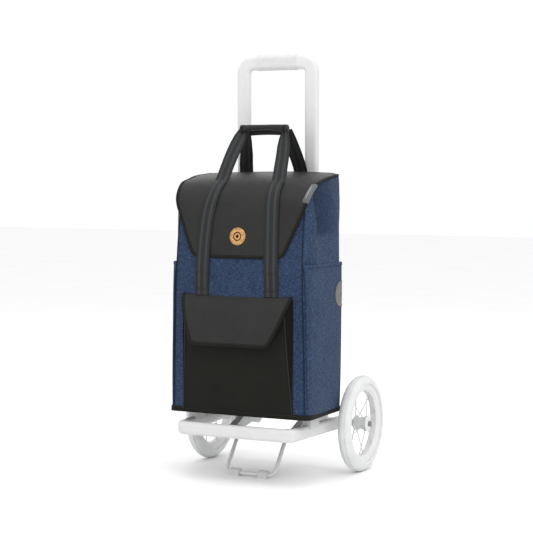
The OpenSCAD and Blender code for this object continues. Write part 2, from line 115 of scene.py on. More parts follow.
def set_uvs(obj, per_vertex):
    """Writes one (u, v) in metres for each vertex."""
    layer = obj.data.uv_layers.new(name="cloth")
    index = np.zeros(len(obj.data.loops), int)
    obj.data.loops.foreach_get("vertex_index", index)
    layer.data.foreach_set("uv", per_vertex[index].astype(np.float32).ravel())


def apply_modifiers(obj):
    """Puts the modifiers' result into the mesh."""
    depsgraph = bpy.context.evaluated_depsgraph_get()
    mesh = bpy.data.meshes.new_from_object(obj.evaluated_get(depsgraph))
    obj.modifiers.clear()
    obj.data = mesh


def solidify(obj, thickness, offset=-1.0):
    """Gives a sheet its thickness: behind its face at offset -1, in front of it at 1."""
    m = obj.modifiers.new("thick", "SOLIDIFY")
    m.thickness = thickness
    m.offset = offset
    m.use_even_offset = True
    apply_modifiers(obj)
    return obj


def fix_normals(obj):
    """Turns all faces of a closed mesh outwards."""
    bm = bmesh.new()
    bm.from_mesh(obj.data)
    bmesh.ops.recalc_face_normals(bm, faces=bm.faces)
    bm.to_mesh(obj.data)
    bm.free()


def unit(v):
    """The vector at length 1."""
    v = np.asarray(v, float)
    return v / max(np.linalg.norm(v), 1e-12)


def tangents(path, closed=False):
    """The path's direction at each of its points."""
    path = np.asarray(path, float)
    if closed:
        t = np.roll(path, -1, 0) - np.roll(path, 1, 0)
    else:
        t = np.gradient(path, axis=0)
    return t / np.maximum(np.linalg.norm(t, axis=1, keepdims=True), 1e-12)


def lengths(path):
    """Distance along the path to each of its points."""
    steps = np.linalg.norm(np.diff(path, axis=0), axis=1)
    return np.concatenate([[0], np.cumsum(steps)])


def resample(path, step, closed=False):
    """The same path with even spacing close to step."""
    path = np.asarray(path, float)
    if closed:
        path = np.vstack([path, path[:1]])
    s = lengths(path)
    n = max(2, int(round(s[-1] / step)) + 1)
    at = np.linspace(0, s[-1], n)
    out = np.stack([np.interp(at, s, path[:, k]) for k in range(path.shape[1])], 1)
    return out[:-1] if closed else out


def curve_through(points):
    """A smooth curve through a few points (centripetal Catmull-Rom)."""
    p = np.asarray(points, float)
    p = np.vstack([2 * p[0] - p[1], p, 2 * p[-1] - p[-2]])
    out = []
    for a, b, c, d in zip(p[:-3], p[1:-2], p[2:-1], p[3:]):
        t1 = np.linalg.norm(b - a) ** 0.5
        t2 = t1 + np.linalg.norm(c - b) ** 0.5
        t3 = t2 + np.linalg.norm(d - c) ** 0.5
        n = max(3, int(np.linalg.norm(c - b) / CURVE_STEP) + 1)
        for t in np.linspace(t1, t2, n, endpoint=False):
            a1 = (t1 - t) / t1 * a + t / t1 * b
            a2 = (t2 - t) / (t2 - t1) * b + (t - t1) / (t2 - t1) * c
            a3 = (t3 - t) / (t3 - t2) * c + (t - t2) / (t3 - t2) * d
            b1 = (t2 - t) / t2 * a1 + t / t2 * a2
            b2 = (t3 - t) / (t3 - t1) * a2 + (t - t1) / (t3 - t1) * a3
            out.append((t2 - t) / (t2 - t1) * b1 + (t - t1) / (t2 - t1) * b2)
    out.append(p[-2])
    return resample(np.array(out), CURVE_STEP)


def sweep(name, path, normals, profile, closed=False, taper=None):
    """Sweeps a closed profile of (across, out) points along a path. normals point out."""
    path, normals = np.asarray(path, float), np.asarray(normals, float)
    t = tangents(path, closed)
    normals = normals - (normals * t).sum(1, keepdims=True) * t
    normals /= np.maximum(np.linalg.norm(normals, axis=1, keepdims=True), 1e-12)
    across = np.cross(t, normals)
    prof = np.asarray(profile, float)
    scale = np.ones(len(path)) if taper is None else np.asarray(taper, float)
    rows = (path[:, None] + across[:, None] * prof[None, :, :1] * scale[:, None, None]
            + normals[:, None] * prof[None, :, 1:] * scale[:, None, None])
    uvs = [(a, v) for v in lengths(path) for a in prof[:, 0]]
    n, m = rows.shape[:2]
    faces = []
    for i in range(n if closed else n - 1):
        k = (i + 1) % n
        for j in range(m):
            l = (j + 1) % m
            faces.append((i * m + j, i * m + l, k * m + l, k * m + j))
    if not closed:
        faces.append(tuple(range(m))[::-1])
        faces.append(tuple((n - 1) * m + j for j in range(m)))
    obj = mesh_object(name, rows.reshape(-1, 3), faces)
    set_uvs(obj, np.array(uvs, float))
    fix_normals(obj)
    return obj


def turns(n):
    """n angles spread evenly round a full turn."""
    return np.linspace(0, 2 * math.pi, n, endpoint=False)


def oval_profile(w, h, n=16, power=2.5):
    """A rounded box section, w across and h thick; a higher power makes it squarer."""
    out = []
    for a in turns(n):
        c, s = math.cos(a), math.sin(a)
        out.append((w / 2 * math.copysign(abs(c) ** (2 / power), c),
                    h / 2 * math.copysign(abs(s) ** (2 / power), s)))
    return out


def piping(name, path, r):
    """A thin round cord sewn into a seam."""
    path = resample(path, CURVE_STEP)
    upright = np.abs(tangents(path)[:, 2:3]) > 0.8
    normals = np.where(upright, [[1.0, 0, 0]], [[0, 0, 1.0]])
    return sweep(name, path, normals, [(r * math.cos(a), r * math.sin(a)) for a in turns(8)])


def stitches(name, path, normals, pitch=0.0042, long=0.0028, r=0.00035):
    """A row of separate thread stitches along a path."""
    path, normals = np.asarray(path, float), np.asarray(normals, float)
    s = lengths(path)
    count = max(1, int(s[-1] / pitch))
    verts, faces = [], []
    ring = 5
    lift = 0.0002

    def along(values, place):
        """The value at a distance along the path."""
        return np.array([np.interp(place, s, values[:, k]) for k in range(3)])

    for i in range(count):
        mid = (i + 0.5) * pitch
        at = along(path, mid)
        n = unit(along(normals, mid))
        t = unit(along(path, mid + long / 2) - along(path, mid - long / 2))
        side = np.cross(t, n)
        base = len(verts)
        for f, w in ((-0.5, 0.35), (-0.28, 1), (0.28, 1), (0.5, 0.35)):
            for a in turns(ring):
                verts.append(at + t * f * long + n * (lift + math.sin(a) * r * w)
                             + side * math.cos(a) * r * 1.3 * w)
        for row in range(3):
            for j in range(ring):
                l = (j + 1) % ring
                faces.append((base + row * ring + j, base + row * ring + l,
                              base + (row + 1) * ring + l, base + (row + 1) * ring + j))
        faces.append(tuple(base + j for j in range(ring))[::-1])
        faces.append(tuple(base + 3 * ring + j for j in range(ring)))
    obj = mesh_object(name, verts, faces)
    fix_normals(obj)
    return obj


def puff(obj, pressure, cap, pin):
    """Lets a closed shell swell as cloth, moves no point further than cap, and keeps the result.

    pin holds each vertex by its weight, from 0, free, to 1, fixed.
    """
    rest = np.array([v.co for v in obj.data.vertices])
    group = obj.vertex_groups.new(name="pin")
    for weight in sorted(set(np.round(pin, 2)) - {0.0}):
        held = np.nonzero(np.round(pin, 2) == weight)[0]
        group.add([int(i) for i in held], float(weight), "REPLACE")
    cloth = obj.modifiers.new("cloth", "CLOTH")
    s = cloth.settings
    s.quality = 6
    s.mass = 0.3
    s.tension_stiffness = 15.0
    s.compression_stiffness = 15.0
    s.shear_stiffness = 7.5
    s.bending_stiffness = 0.6
    s.use_pressure = True
    s.uniform_pressure_force = pressure
    s.effector_weights.gravity = 0
    s.vertex_group_mass = "pin"
    scene = bpy.context.scene
    frames = 20
    cloth.point_cache.frame_end = frames
    for f in range(1, frames + 1):
        scene.frame_set(f)
    moved = obj.evaluated_get(bpy.context.evaluated_depsgraph_get())
    now = np.array([v.co for v in moved.data.vertices])
    step = now - rest
    size = np.linalg.norm(step, axis=1, keepdims=True)
    step *= np.minimum(1, cap / np.maximum(size, 1e-9))
    obj.modifiers.clear()
    obj.vertex_groups.clear()
    scene.frame_set(1)
    obj.data.vertices.foreach_set("co", (rest + step).astype(np.float32).ravel())
    obj.data.update()


def ripple(points, seed, scale, amount):
    """Smooth pseudo-random offset for each point, from a few fixed waves."""
    rng = np.random.default_rng(seed)
    p = np.asarray(points, float)
    total = np.zeros(p.shape[:-1])
    for k in range(7):
        d = unit(rng.normal(size=3))
        total += np.sin(p @ d * scale * (0.6 + 0.25 * k) + rng.uniform(0, 6.28)) / (1 + 0.4 * k)
    return amount * total / 2.5


# ---------------------------------------------------------------- materials

class Nodes:
    """Short calls for building a shader."""

    def __init__(self, name):
        self.material = bpy.data.materials.new(name)
        self.material.use_nodes = True
        self.nodes, self.links = self.material.node_tree.nodes, self.material.node_tree.links
        self.nodes.clear()
        out = self.nodes.new("ShaderNodeOutputMaterial")
        self.shader = self.nodes.new("ShaderNodeBsdfPrincipled")
        self.links.new(self.shader.outputs[0], out.inputs[0])

    def put(self, kind, inputs=None, **settings):
        """A node with its settings, and each input linked or set."""
        node = self.nodes.new(kind)
        for k, v in settings.items():
            setattr(node, k, v)
        for k, v in (inputs or {}).items():
            if isinstance(v, bpy.types.NodeSocket):
                self.links.new(v, node.inputs[k])
            else:
                node.inputs[k].default_value = v
        return node

    def math(self, operation, a, b=0.0):
        """The result of a maths node."""
        return self.put("ShaderNodeMath", {0: a, 1: b}, operation=operation).outputs[0]

    def mix(self, a, share_a, b, share_b):
        """a and b, each times its share, added up."""
        return self.math("ADD", self.math("MULTIPLY", a, share_a), self.math("MULTIPLY", b, share_b))

    def ridges(self, value, pitch):
        """Rounded ridges, one for each pitch along value."""
        return self.math("ABSOLUTE", self.math("SINE", self.math("MULTIPLY", value, math.pi / pitch)))

    def place(self):
        """Position in object space."""
        return self.put("ShaderNodeTexCoord").outputs["Object"]

    def split(self, vector):
        """The x, y and z of a vector."""
        return self.put("ShaderNodeSeparateXYZ", {0: vector}).outputs

    def noise(self, vector, scale, detail=2.0, rough=0.5):
        """Smooth noise from 0 to 1."""
        settings = {"Vector": vector, "Scale": scale, "Detail": detail, "Roughness": rough}
        return self.put("ShaderNodeTexNoise", settings).outputs[0]

    def cells(self, scale, socket, **settings):
        """Voronoi cells in object space."""
        node = self.put("ShaderNodeTexVoronoi", {"Vector": self.place(), "Scale": scale}, **settings)
        return node.outputs[socket]

    def ramp(self, value, stops):
        """The colour at value, between (place, colour) stops."""
        node = self.put("ShaderNodeValToRGB", {0: value})
        ramp = node.color_ramp
        while len(ramp.elements) < len(stops):
            ramp.elements.new(0.5)
        for element, (at, colour) in zip(ramp.elements, stops):
            element.position = at
            element.color = (*colour, 1)
        return node.outputs[0]

    def span(self, value, low, high, floor=0.0):
        """Rises smoothly from floor at low to 1 at high."""
        settings = {"Value": value, "From Min": low, "From Max": high, "To Min": floor, "To Max": 1.0}
        return self.put("ShaderNodeMapRange", settings, interpolation_type="SMOOTHSTEP").outputs[0]

    def set(self, **values):
        """Sets or links the shader's own sockets."""
        names = {"colour": "Base Color", "rough": "Roughness", "metal": "Metallic", "normal": "Normal",
                 "sheen": "Sheen Weight", "sheen_rough": "Sheen Roughness", "coat": "Coat Weight",
                 "coat_rough": "Coat Roughness", "specular": "Specular IOR Level"}
        for k, v in values.items():
            socket = self.shader.inputs[names[k]]
            if isinstance(v, bpy.types.NodeSocket):
                self.links.new(v, socket)
            else:
                socket.default_value = v

    def bump(self, height, distance, strength=1.0):
        """Roughens the surface by a height."""
        node = self.put("ShaderNodeBump", {"Height": height, "Distance": distance, "Strength": strength})
        self.set(normal=node.outputs[0])


def srgb(r, g, b):
    """Linear colour from 0-255 display values."""
    def one(c):
        """One channel."""
        c /= 255
        return c / 12.92 if c <= 0.04045 else ((c + 0.055) / 1.055) ** 2.4
    return one(r), one(g), one(b)


def woven(n, level, upright, pitch):
    """Height of a plain weave whose threads run level and upright."""
    crossing = n.math("MULTIPLY", n.ridges(level, pitch), n.ridges(upright, pitch))
    checker = n.math("SINE", n.math("MULTIPLY", n.math("ADD", level, upright), math.pi / pitch))
    return n.math("ADD", crossing, n.math("MULTIPLY", checker, 0.25))


def melange_material(name, dark, mid, light, paint_fold_shade=False):
    """Heathered polyester: flecks of light and dark yarn in both thread directions.

    Where asked, painted shade darkens the colour along the fold where a side's soft top sinks in behind the
    bag's firm front edge, fading towards the back.
    """
    n = Nodes(name)
    place = n.place()
    across, deep, high = n.split(place)
    level = n.math("ADD", across, deep)

    def flecks(level_scale, upright_scale):
        """Noise stretched along the direction with the smaller scale."""
        drawn = {0: n.math("MULTIPLY", level, level_scale), 1: n.math("MULTIPLY", high, upright_scale)}
        return n.noise(n.put("ShaderNodeCombineXYZ", drawn).outputs[0], 1.0, 3.0, 0.7)

    mix = n.mix(flecks(95, 560), 0.48, flecks(620, 120), 0.40)
    mix = n.math("ADD", mix, n.math("MULTIPLY", n.noise(place, 9.0, 3.0, 0.6), 0.08))
    worn = n.noise(place, 60.0, 2.0, 0.5)
    mix = n.math("ADD", mix, n.math("MULTIPLY", worn, 0.06))
    if paint_fold_shade:
        # Painted shade: a darker band just behind the fold, fading out towards the back, above a ragged
        # lower edge.
        dull = n.math("MULTIPLY", n.span(deep, -0.1235, -0.1185), n.span(deep, 0.010, -0.110, 0.18))
        shade_edge_height = n.math("ADD", high, n.math("MULTIPLY", worn, 0.02))
        dull = n.math("MULTIPLY", dull, n.span(shade_edge_height, 0.618, 0.645))
        mix = n.math("SUBTRACT", mix, n.math("MULTIPLY", dull, 0.085))
    colour = n.ramp(mix, [(0.36, dark), (0.50, mid), (0.66, light)])
    height = n.math("ADD", woven(n, level, high, 0.0011), n.math("MULTIPLY", mix, 0.8))
    n.set(colour=colour, rough=n.math("ADD", n.math("MULTIPLY", mix, 0.2), 0.72), sheen=0.04,
          sheen_rough=0.5, specular=0.1)
    n.bump(height, 0.00035, 0.7)
    return n.material


def coated_material(name, dark, light, rough=0.6, sheen=0.02, specular=0.12, pitch=0.0009):
    """Coated nylon: a fine tight weave under a dull coating, a little lighter where it is rubbed."""
    n = Nodes(name)
    place = n.place()
    across, deep, high = n.split(place)
    level = n.math("ADD", across, deep)
    upright = n.math("ADD", high, n.math("MULTIPLY", deep, 0.9))
    cloud = n.noise(place, 14.0, 4.0, 0.6)
    grain = n.noise(place, 420.0, 3.0, 0.6)
    mix = n.mix(cloud, 0.5, grain, 0.5)
    colour = n.ramp(mix, [(0.32, dark), (0.68, light)])
    height = n.math("ADD", woven(n, level, upright, pitch), n.math("MULTIPLY", grain, 0.9))
    n.set(colour=colour, rough=n.math("ADD", n.math("MULTIPLY", cloud, 0.18), rough - 0.08),
          sheen=sheen, sheen_rough=0.45, specular=specular)
    n.bump(height, 0.00022, 0.6)
    return n.material


def webbing_material(name, dark, mid, light):
    """Woven strap: dark selvedges and two lighter ribs, with a herringbone of yarns along it."""
    n = Nodes(name)
    across, along, _ = n.split(n.put("ShaderNodeUVMap", uv_map="cloth").outputs[0])
    off = n.math("ABSOLUTE", across)
    grain = n.noise(n.place(), 500.0, 2.0, 0.6)
    from_rib = n.math("ABSOLUTE", n.math("SUBTRACT", off, RIB_X))
    rib = n.math("MAXIMUM", n.math("SUBTRACT", 1.0, n.math("MULTIPLY", from_rib, 230.0)), 0.0)
    rib = n.math("MINIMUM", n.math("MULTIPLY", rib, 2.0), 1.0)
    edge = n.math("MULTIPLY", n.math("GREATER_THAN", off, 0.0170), 0.10)
    weave = n.ridges(n.math("ADD", along, off), 0.0016)
    value = n.math("ADD", n.mix(rib, 0.34, weave, 0.14), n.math("MULTIPLY", grain, 0.25))
    value = n.math("SUBTRACT", value, edge)
    colour = n.ramp(value, [(0.05, dark), (0.30, mid), (0.85, light)])
    height = n.mix(weave, 0.6, n.ridges(across, 0.0012), 0.5)
    n.set(colour=colour, rough=0.55, sheen=0.03, sheen_rough=0.4, specular=0.2)
    n.bump(height, 0.0003, 0.8)
    return n.material


def cork_material():
    """Cork leather: tan with darker and lighter grains."""
    n = Nodes("cork_leather")
    cell = n.split(n.cells(620.0, "Color"))[0]
    mix = n.mix(cell, 0.35, n.noise(n.place(), 260.0, 4.0, 0.7), 0.65)
    tans = [(0.25, srgb(136, 88, 50)), (0.5, srgb(192, 143, 84)), (0.78, srgb(220, 180, 122))]
    n.set(colour=n.ramp(mix, tans), rough=0.6, specular=0.35)
    n.bump(mix, 0.0003, 0.6)
    return n.material


def paint_material(name, colour, rough, coat):
    """Satin paint on metal, with faint orange peel and handling marks."""
    n = Nodes(name)
    place = n.place()
    peel = n.noise(place, 900.0, 2.0, 0.5)
    marks = n.noise(place, 28.0, 5.0, 0.65)
    shade = n.ramp(marks, [(0.3, tuple(c * 0.94 for c in colour)), (0.7, colour)])
    n.set(colour=shade, rough=n.math("ADD", n.math("MULTIPLY", marks, 0.14), rough - 0.07),
          coat=coat, coat_rough=0.25, specular=0.3)
    n.bump(peel, 0.00003, 0.5)
    return n.material


def moulded_material(name, colour, rough=0.55, specular=0.4):
    """Moulded plastic or rubber with a fine spark-eroded texture."""
    n = Nodes(name)
    grain = n.cells(1400.0, "Distance")
    cloud = n.noise(n.place(), 40.0, 4.0, 0.6)
    shade = n.ramp(cloud, [(0.3, tuple(c * 0.9 for c in colour)), (0.7, colour)])
    n.set(colour=shade, rough=n.math("ADD", n.math("MULTIPLY", cloud, 0.16), rough - 0.08),
          specular=specular)
    n.bump(grain, 0.00012, 0.5)
    return n.material


def steel_material(name):
    """Zinc-plated steel, turned: fine rings and a mottled bloom."""
    n = Nodes(name)
    place = n.place()
    drawn = n.put("ShaderNodeVectorMath", {0: place, 1: (6000.0, 300.0, 300.0)}, operation="MULTIPLY")
    rings = n.noise(drawn.outputs[0], 1.0, 2.0, 0.5)
    bloom = n.noise(place, 55.0, 3.0, 0.6)
    shade = n.ramp(bloom, [(0.3, (0.52, 0.53, 0.54)), (0.7, (0.72, 0.73, 0.74))])
    n.set(colour=shade, metal=1.0, rough=n.math("ADD", n.math("MULTIPLY", rings, 0.2), 0.2))
    n.bump(rings, 0.00003, 0.4)
    return n.material


def ribbon_material():
    """Dark grey woven ribbon with a dense cross rib."""
    n = Nodes("ribbon")
    place = n.place()
    mix = n.mix(n.ridges(n.split(place)[2], 0.0009), 0.5, n.noise(place, 700.0, 2.0, 0.5), 0.5)
    colour = n.ramp(mix, [(0.2, srgb(44, 47, 49)), (0.8, srgb(82, 87, 90))])
    n.set(colour=colour, rough=0.42, sheen=0.2, specular=0.6)
    n.bump(mix, 0.00015, 0.6)
    return n.material


def reflective_material():
    """Glass-bead reflective film: small honeycomb cells, seen by day as grey."""
    n = Nodes("reflective_film")
    cells = n.cells(380.0, "Distance", feature="DISTANCE_TO_EDGE")
    line = n.math("MINIMUM", n.math("MULTIPLY", cells, 5.0), 1.0)
    mix = n.mix(line, 0.6, n.noise(n.place(), 70.0, 3.0, 0.6), 0.4)
    colour = n.ramp(mix, [(0.2, srgb(74, 73, 70)), (0.8, srgb(100, 98, 94))])
    n.set(colour=colour, rough=0.38, metal=0.25, specular=0.6)
    n.bump(mix, 0.0001, 0.5)
    return n.material


MATERIALS = {
    "blue_fabric": melange_material("blue_melange", srgb(20, 31, 50), srgb(38, 53, 78), srgb(74, 92, 122)),
    # The sides' copy of the blue melange is a touch lighter than the front's as painted light for the
    # brighter-lit sides, and it also carries the painted fold shade.
    "side_fabric": melange_material("blue_melange_side_painted_light", srgb(22, 33, 51), srgb(43, 58, 82),
                                    srgb(82, 101, 130), paint_fold_shade=True),
    "black_fabric": coated_material("black_nylon", srgb(17, 17, 14), srgb(28, 28, 24), rough=0.66),
    "flap_fabric": coated_material("charcoal_nylon", srgb(27, 28, 27), srgb(40, 40, 39), rough=0.45,
                                   sheen=0.03, specular=0.2),
    # A darker copy of the black nylon: painted shade on the pocket's side gussets where they turn in from
    # its face.
    "gusset": coated_material("gusset_nylon_painted_shade", srgb(10, 10, 8), srgb(18, 18, 15), rough=0.75),
    "binding": coated_material("binding_tape", srgb(16, 16, 13), srgb(28, 27, 23), rough=0.6, pitch=0.0007),
    "seam": coated_material("seam_cord", srgb(18, 24, 38), srgb(32, 42, 62), rough=0.7, pitch=0.0007),
    "lining": coated_material("lining", srgb(60, 62, 64), srgb(84, 86, 88), rough=0.7),
    "thread": coated_material("thread", srgb(40, 40, 38), srgb(66, 66, 62), rough=0.6),
    "thread_dark": coated_material("thread_dark", srgb(18, 21, 29), srgb(30, 35, 46), rough=0.6),
    "webbing": webbing_material("webbing", srgb(22, 23, 23), srgb(38, 40, 41), srgb(62, 65, 67)),
    "webbing_rear": webbing_material("webbing_rear", srgb(12, 13, 12), srgb(23, 24, 24), srgb(44, 46, 46)),
    "cork": cork_material(),
    "ribbon": ribbon_material(),
    "ribbon_light": coated_material("ribbon_stripe", srgb(138, 143, 145), srgb(168, 173, 175), rough=0.5),
    "reflective": reflective_material(),
    "reflective_edge": coated_material("reflective_hem", srgb(100, 98, 93), srgb(122, 120, 115), rough=0.5),
    "frame_tube": paint_material("frame_paint", srgb(211, 211, 211), 0.5, 0.05),
    "rim": paint_material("rim_paint", srgb(218, 218, 218), 0.5, 0.05),
    "frame_fitting": moulded_material("fitting_plastic", srgb(210, 211, 211)),
    "tyre": moulded_material("tyre_rubber", srgb(219, 220, 220), 0.75, 0.25),
    "rubber": moulded_material("grey_rubber", srgb(204, 205, 205), 0.8, 0.2),
    "sleeve": moulded_material("sleeve_foam", srgb(208, 208, 208), 0.8, 0.2),
    "button": moulded_material("button_plastic", srgb(120, 122, 124), 0.35, 0.5),
    "hook_plastic": moulded_material("hook_plastic", srgb(30, 30, 30), 0.5),
    "board": moulded_material("stiffener", srgb(44, 44, 44), 0.7),
    "steel": steel_material("zinc_steel"),
}


def finish_piece(obj, material, body, replaces=()):
    """Gives a piece its material, its body and the CAD nodes it stands for."""
    obj.data.materials.clear()
    obj.data.materials.append(MATERIALS[material])
    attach(obj, body)
    if replaces:
        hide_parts(*replaces)
    return obj


def dress_frame():
    """Every CAD node that stays visible gets the material of its record slot."""
    slots = {s["node"]: s["material_slot"] for s in frame["record"]["subparts"]}
    for name, obj in frame["nodes"].items():
        material = MATERIALS[slots[name]]
        if not obj.data.materials:
            obj.data.materials.append(material)
        for i in range(len(obj.data.materials)):
            obj.data.materials[i] = material


# ---------------------------------------------------------------- bag

BAG_STEP = 0.0052
PANEL_T = 0.003
BULGE_FRONT, BULGE_SIDE = 0.004, 0.0045
OUTER_R = 0.020
# How far the soft sides stand outside the CAD's flat side panels, before they are pulled in
SIDE_PROUD = 0.003


def smoothstep(a, b, v):
    """Rises smoothly from 0 at a to 1 at b."""
    t = np.clip((np.asarray(v, float) - a) / (b - a), 0, 1)
    return t * t * (3 - 2 * t)


def face_curve():
    """The bag's roof and front as a smooth curve of (y, z) points from the back edge down to the base."""
    top = curve_through([(0, y, z) for y, z in FACE])[:, 1:]
    down = list(np.arange(FACE[-1][1] - CURVE_STEP, BASE_Z + CURVE_STEP / 2, -CURVE_STEP)) + [BASE_Z]
    return np.vstack([top, [(FRONT_Y, z) for z in down]])


CURVE = face_curve()


def front_line(z):
    """How far forward the front stands at height z, before it bulges."""
    down = CURVE[CURVE[:, 1] < 0.735]
    return np.interp(z, down[::-1, 1], down[::-1, 0])


def front_swell(x, z):
    """How far the front panel bulges."""
    across = np.clip(1 - (np.asarray(x) / (HALF_W - 0.012)) ** 2, 0, 1)
    height = np.clip((np.asarray(z) - BASE_Z) / (EAVES_Z - BASE_Z), 0, 1)
    return BULGE_FRONT * across ** 0.7 * np.sqrt(np.clip(4 * height * (1 - height), 0, 1))


def bag_face_y(x, z):
    """Where the bag's front surface stands."""
    into = np.clip((np.abs(x) - (HALF_W - OUTER_R)) / OUTER_R, 0, 1)
    rounding = OUTER_R * (1 - np.sqrt(1 - (into * math.sin(SEAM_TURN)) ** 2))
    return front_line(z) - front_swell(x, z) + rounding


def side_dent(y, z):
    """How far a side panel's soft top sinks in behind the front edge, with two slack wrinkles below."""
    y, z = np.asarray(y), np.asarray(z)
    fold = -0.122 + 0.0025 * np.sin(z * 70)
    along = smoothstep(fold - 0.003, fold + 0.0035, y) * (1 - smoothstep(fold + 0.010, fold + 0.105, y))
    deep = 0.021 * along * smoothstep(0.600, 0.650, z) * (1 - 0.75 * smoothstep(0.715, 0.752, z))
    off_first = (z - 0.600) - 0.22 * (y + 0.10)
    first = np.exp(-(off_first / 0.007) ** 2)
    first = first * smoothstep(-0.145, -0.110, y) * (1 - smoothstep(-0.03, 0.015, y))
    off_second = (z - 0.585) + 0.45 * (y + 0.09)
    second = 0.7 * np.exp(-(off_second / 0.006) ** 2)
    second = second * smoothstep(-0.12, -0.09, y) * (1 - smoothstep(-0.05, 0.0, y))
    return deep + 0.0040 * (first + second)


def pulled_in(y, z):
    """How much narrower the bag's half width is, towards its top and above all at the front."""
    near = np.clip((BACK_Y - np.asarray(y)) / DEPTH, 0, 1)
    slim = smoothstep(0.15, 0.78, z) * (1 - 0.45 * smoothstep(0.69, 0.76, z))
    full = np.clip((np.asarray(z) - BASE_Z) / (RIM_Z - BASE_Z), 0, 1)
    return (0.011 * near * slim + 0.006 * smoothstep(0.68, 0.775, z)
            - 0.0045 * (1 - near) ** 2 * np.clip(4 * full * (1 - full), 0, 1) ** 0.6)


def side_swell(y, z):
    """How far a side panel bulges between its edges."""
    front = front_line(z)
    mid, half = (front + BACK_Y) / 2, (BACK_Y - front) / 2
    through = np.clip(1 - ((np.asarray(y) - mid) / half) ** 2, 0, 1)
    height = np.clip((np.asarray(z) - BASE_Z) / (RIM_Z - BASE_Z), 0, 1)
    return BULGE_SIDE * through ** 0.5 * np.clip(4 * height * (1 - height), 0, 1) ** 0.4


def side_x(y, z):
    """Half width of the bag's side surface, with its rounded front and back edges."""
    d = np.clip(np.minimum(np.asarray(y) - front_line(z), BACK_Y - np.asarray(y)), 0, OUTER_R)
    inward = OUTER_R - np.sqrt(OUTER_R ** 2 - (OUTER_R - d) ** 2)
    return HALF_W - pulled_in(y, z) + side_swell(y, z) - side_dent(y, z) - inward + SIDE_PROUD


def edge_radius(z):
    """Radius of the rounded edge between a side and the bag's profile at height z."""
    upright = smoothstep(BASE_Z + 0.001, BASE_Z + 0.014, z) * (1 - smoothstep(0.68, 0.76, z))
    return 0.006 + (OUTER_R - 0.006) * upright


def side_grid():
    """Points (y, z) that fill the side's outline, in rows from front to back, each from base to top."""
    face = resample(np.insert(CURVE, 0, 0, axis=1), BAG_STEP)[:, 1:]
    corner = int(np.argmin(np.abs(face[:, 1] - MOUTH_Z)))
    top, front = face[corner::-1], face[:corner - 1:-1]
    n_up, n_deep = len(front) - 1, len(top) - 1
    rear = np.array([(BACK_Y, z) for z in np.linspace(BASE_Z, RIM_Z, n_up + 1)])
    base = np.array([(y, BASE_Z) for y in np.linspace(FRONT_Y, BACK_Y, n_deep + 1)])
    grid = np.zeros((n_deep + 1, n_up + 1, 2))
    for j in range(n_deep + 1):
        a = j / n_deep
        for i in range(n_up + 1):
            b = i / n_up
            grid[j, i] = ((1 - a) * front[i] + a * rear[i] + (1 - b) * base[j] + b * top[j]
                          - ((1 - a) * (1 - b) * front[0] + a * (1 - b) * base[-1]
                             + (1 - a) * b * front[-1] + a * b * top[-1]))
    return grid


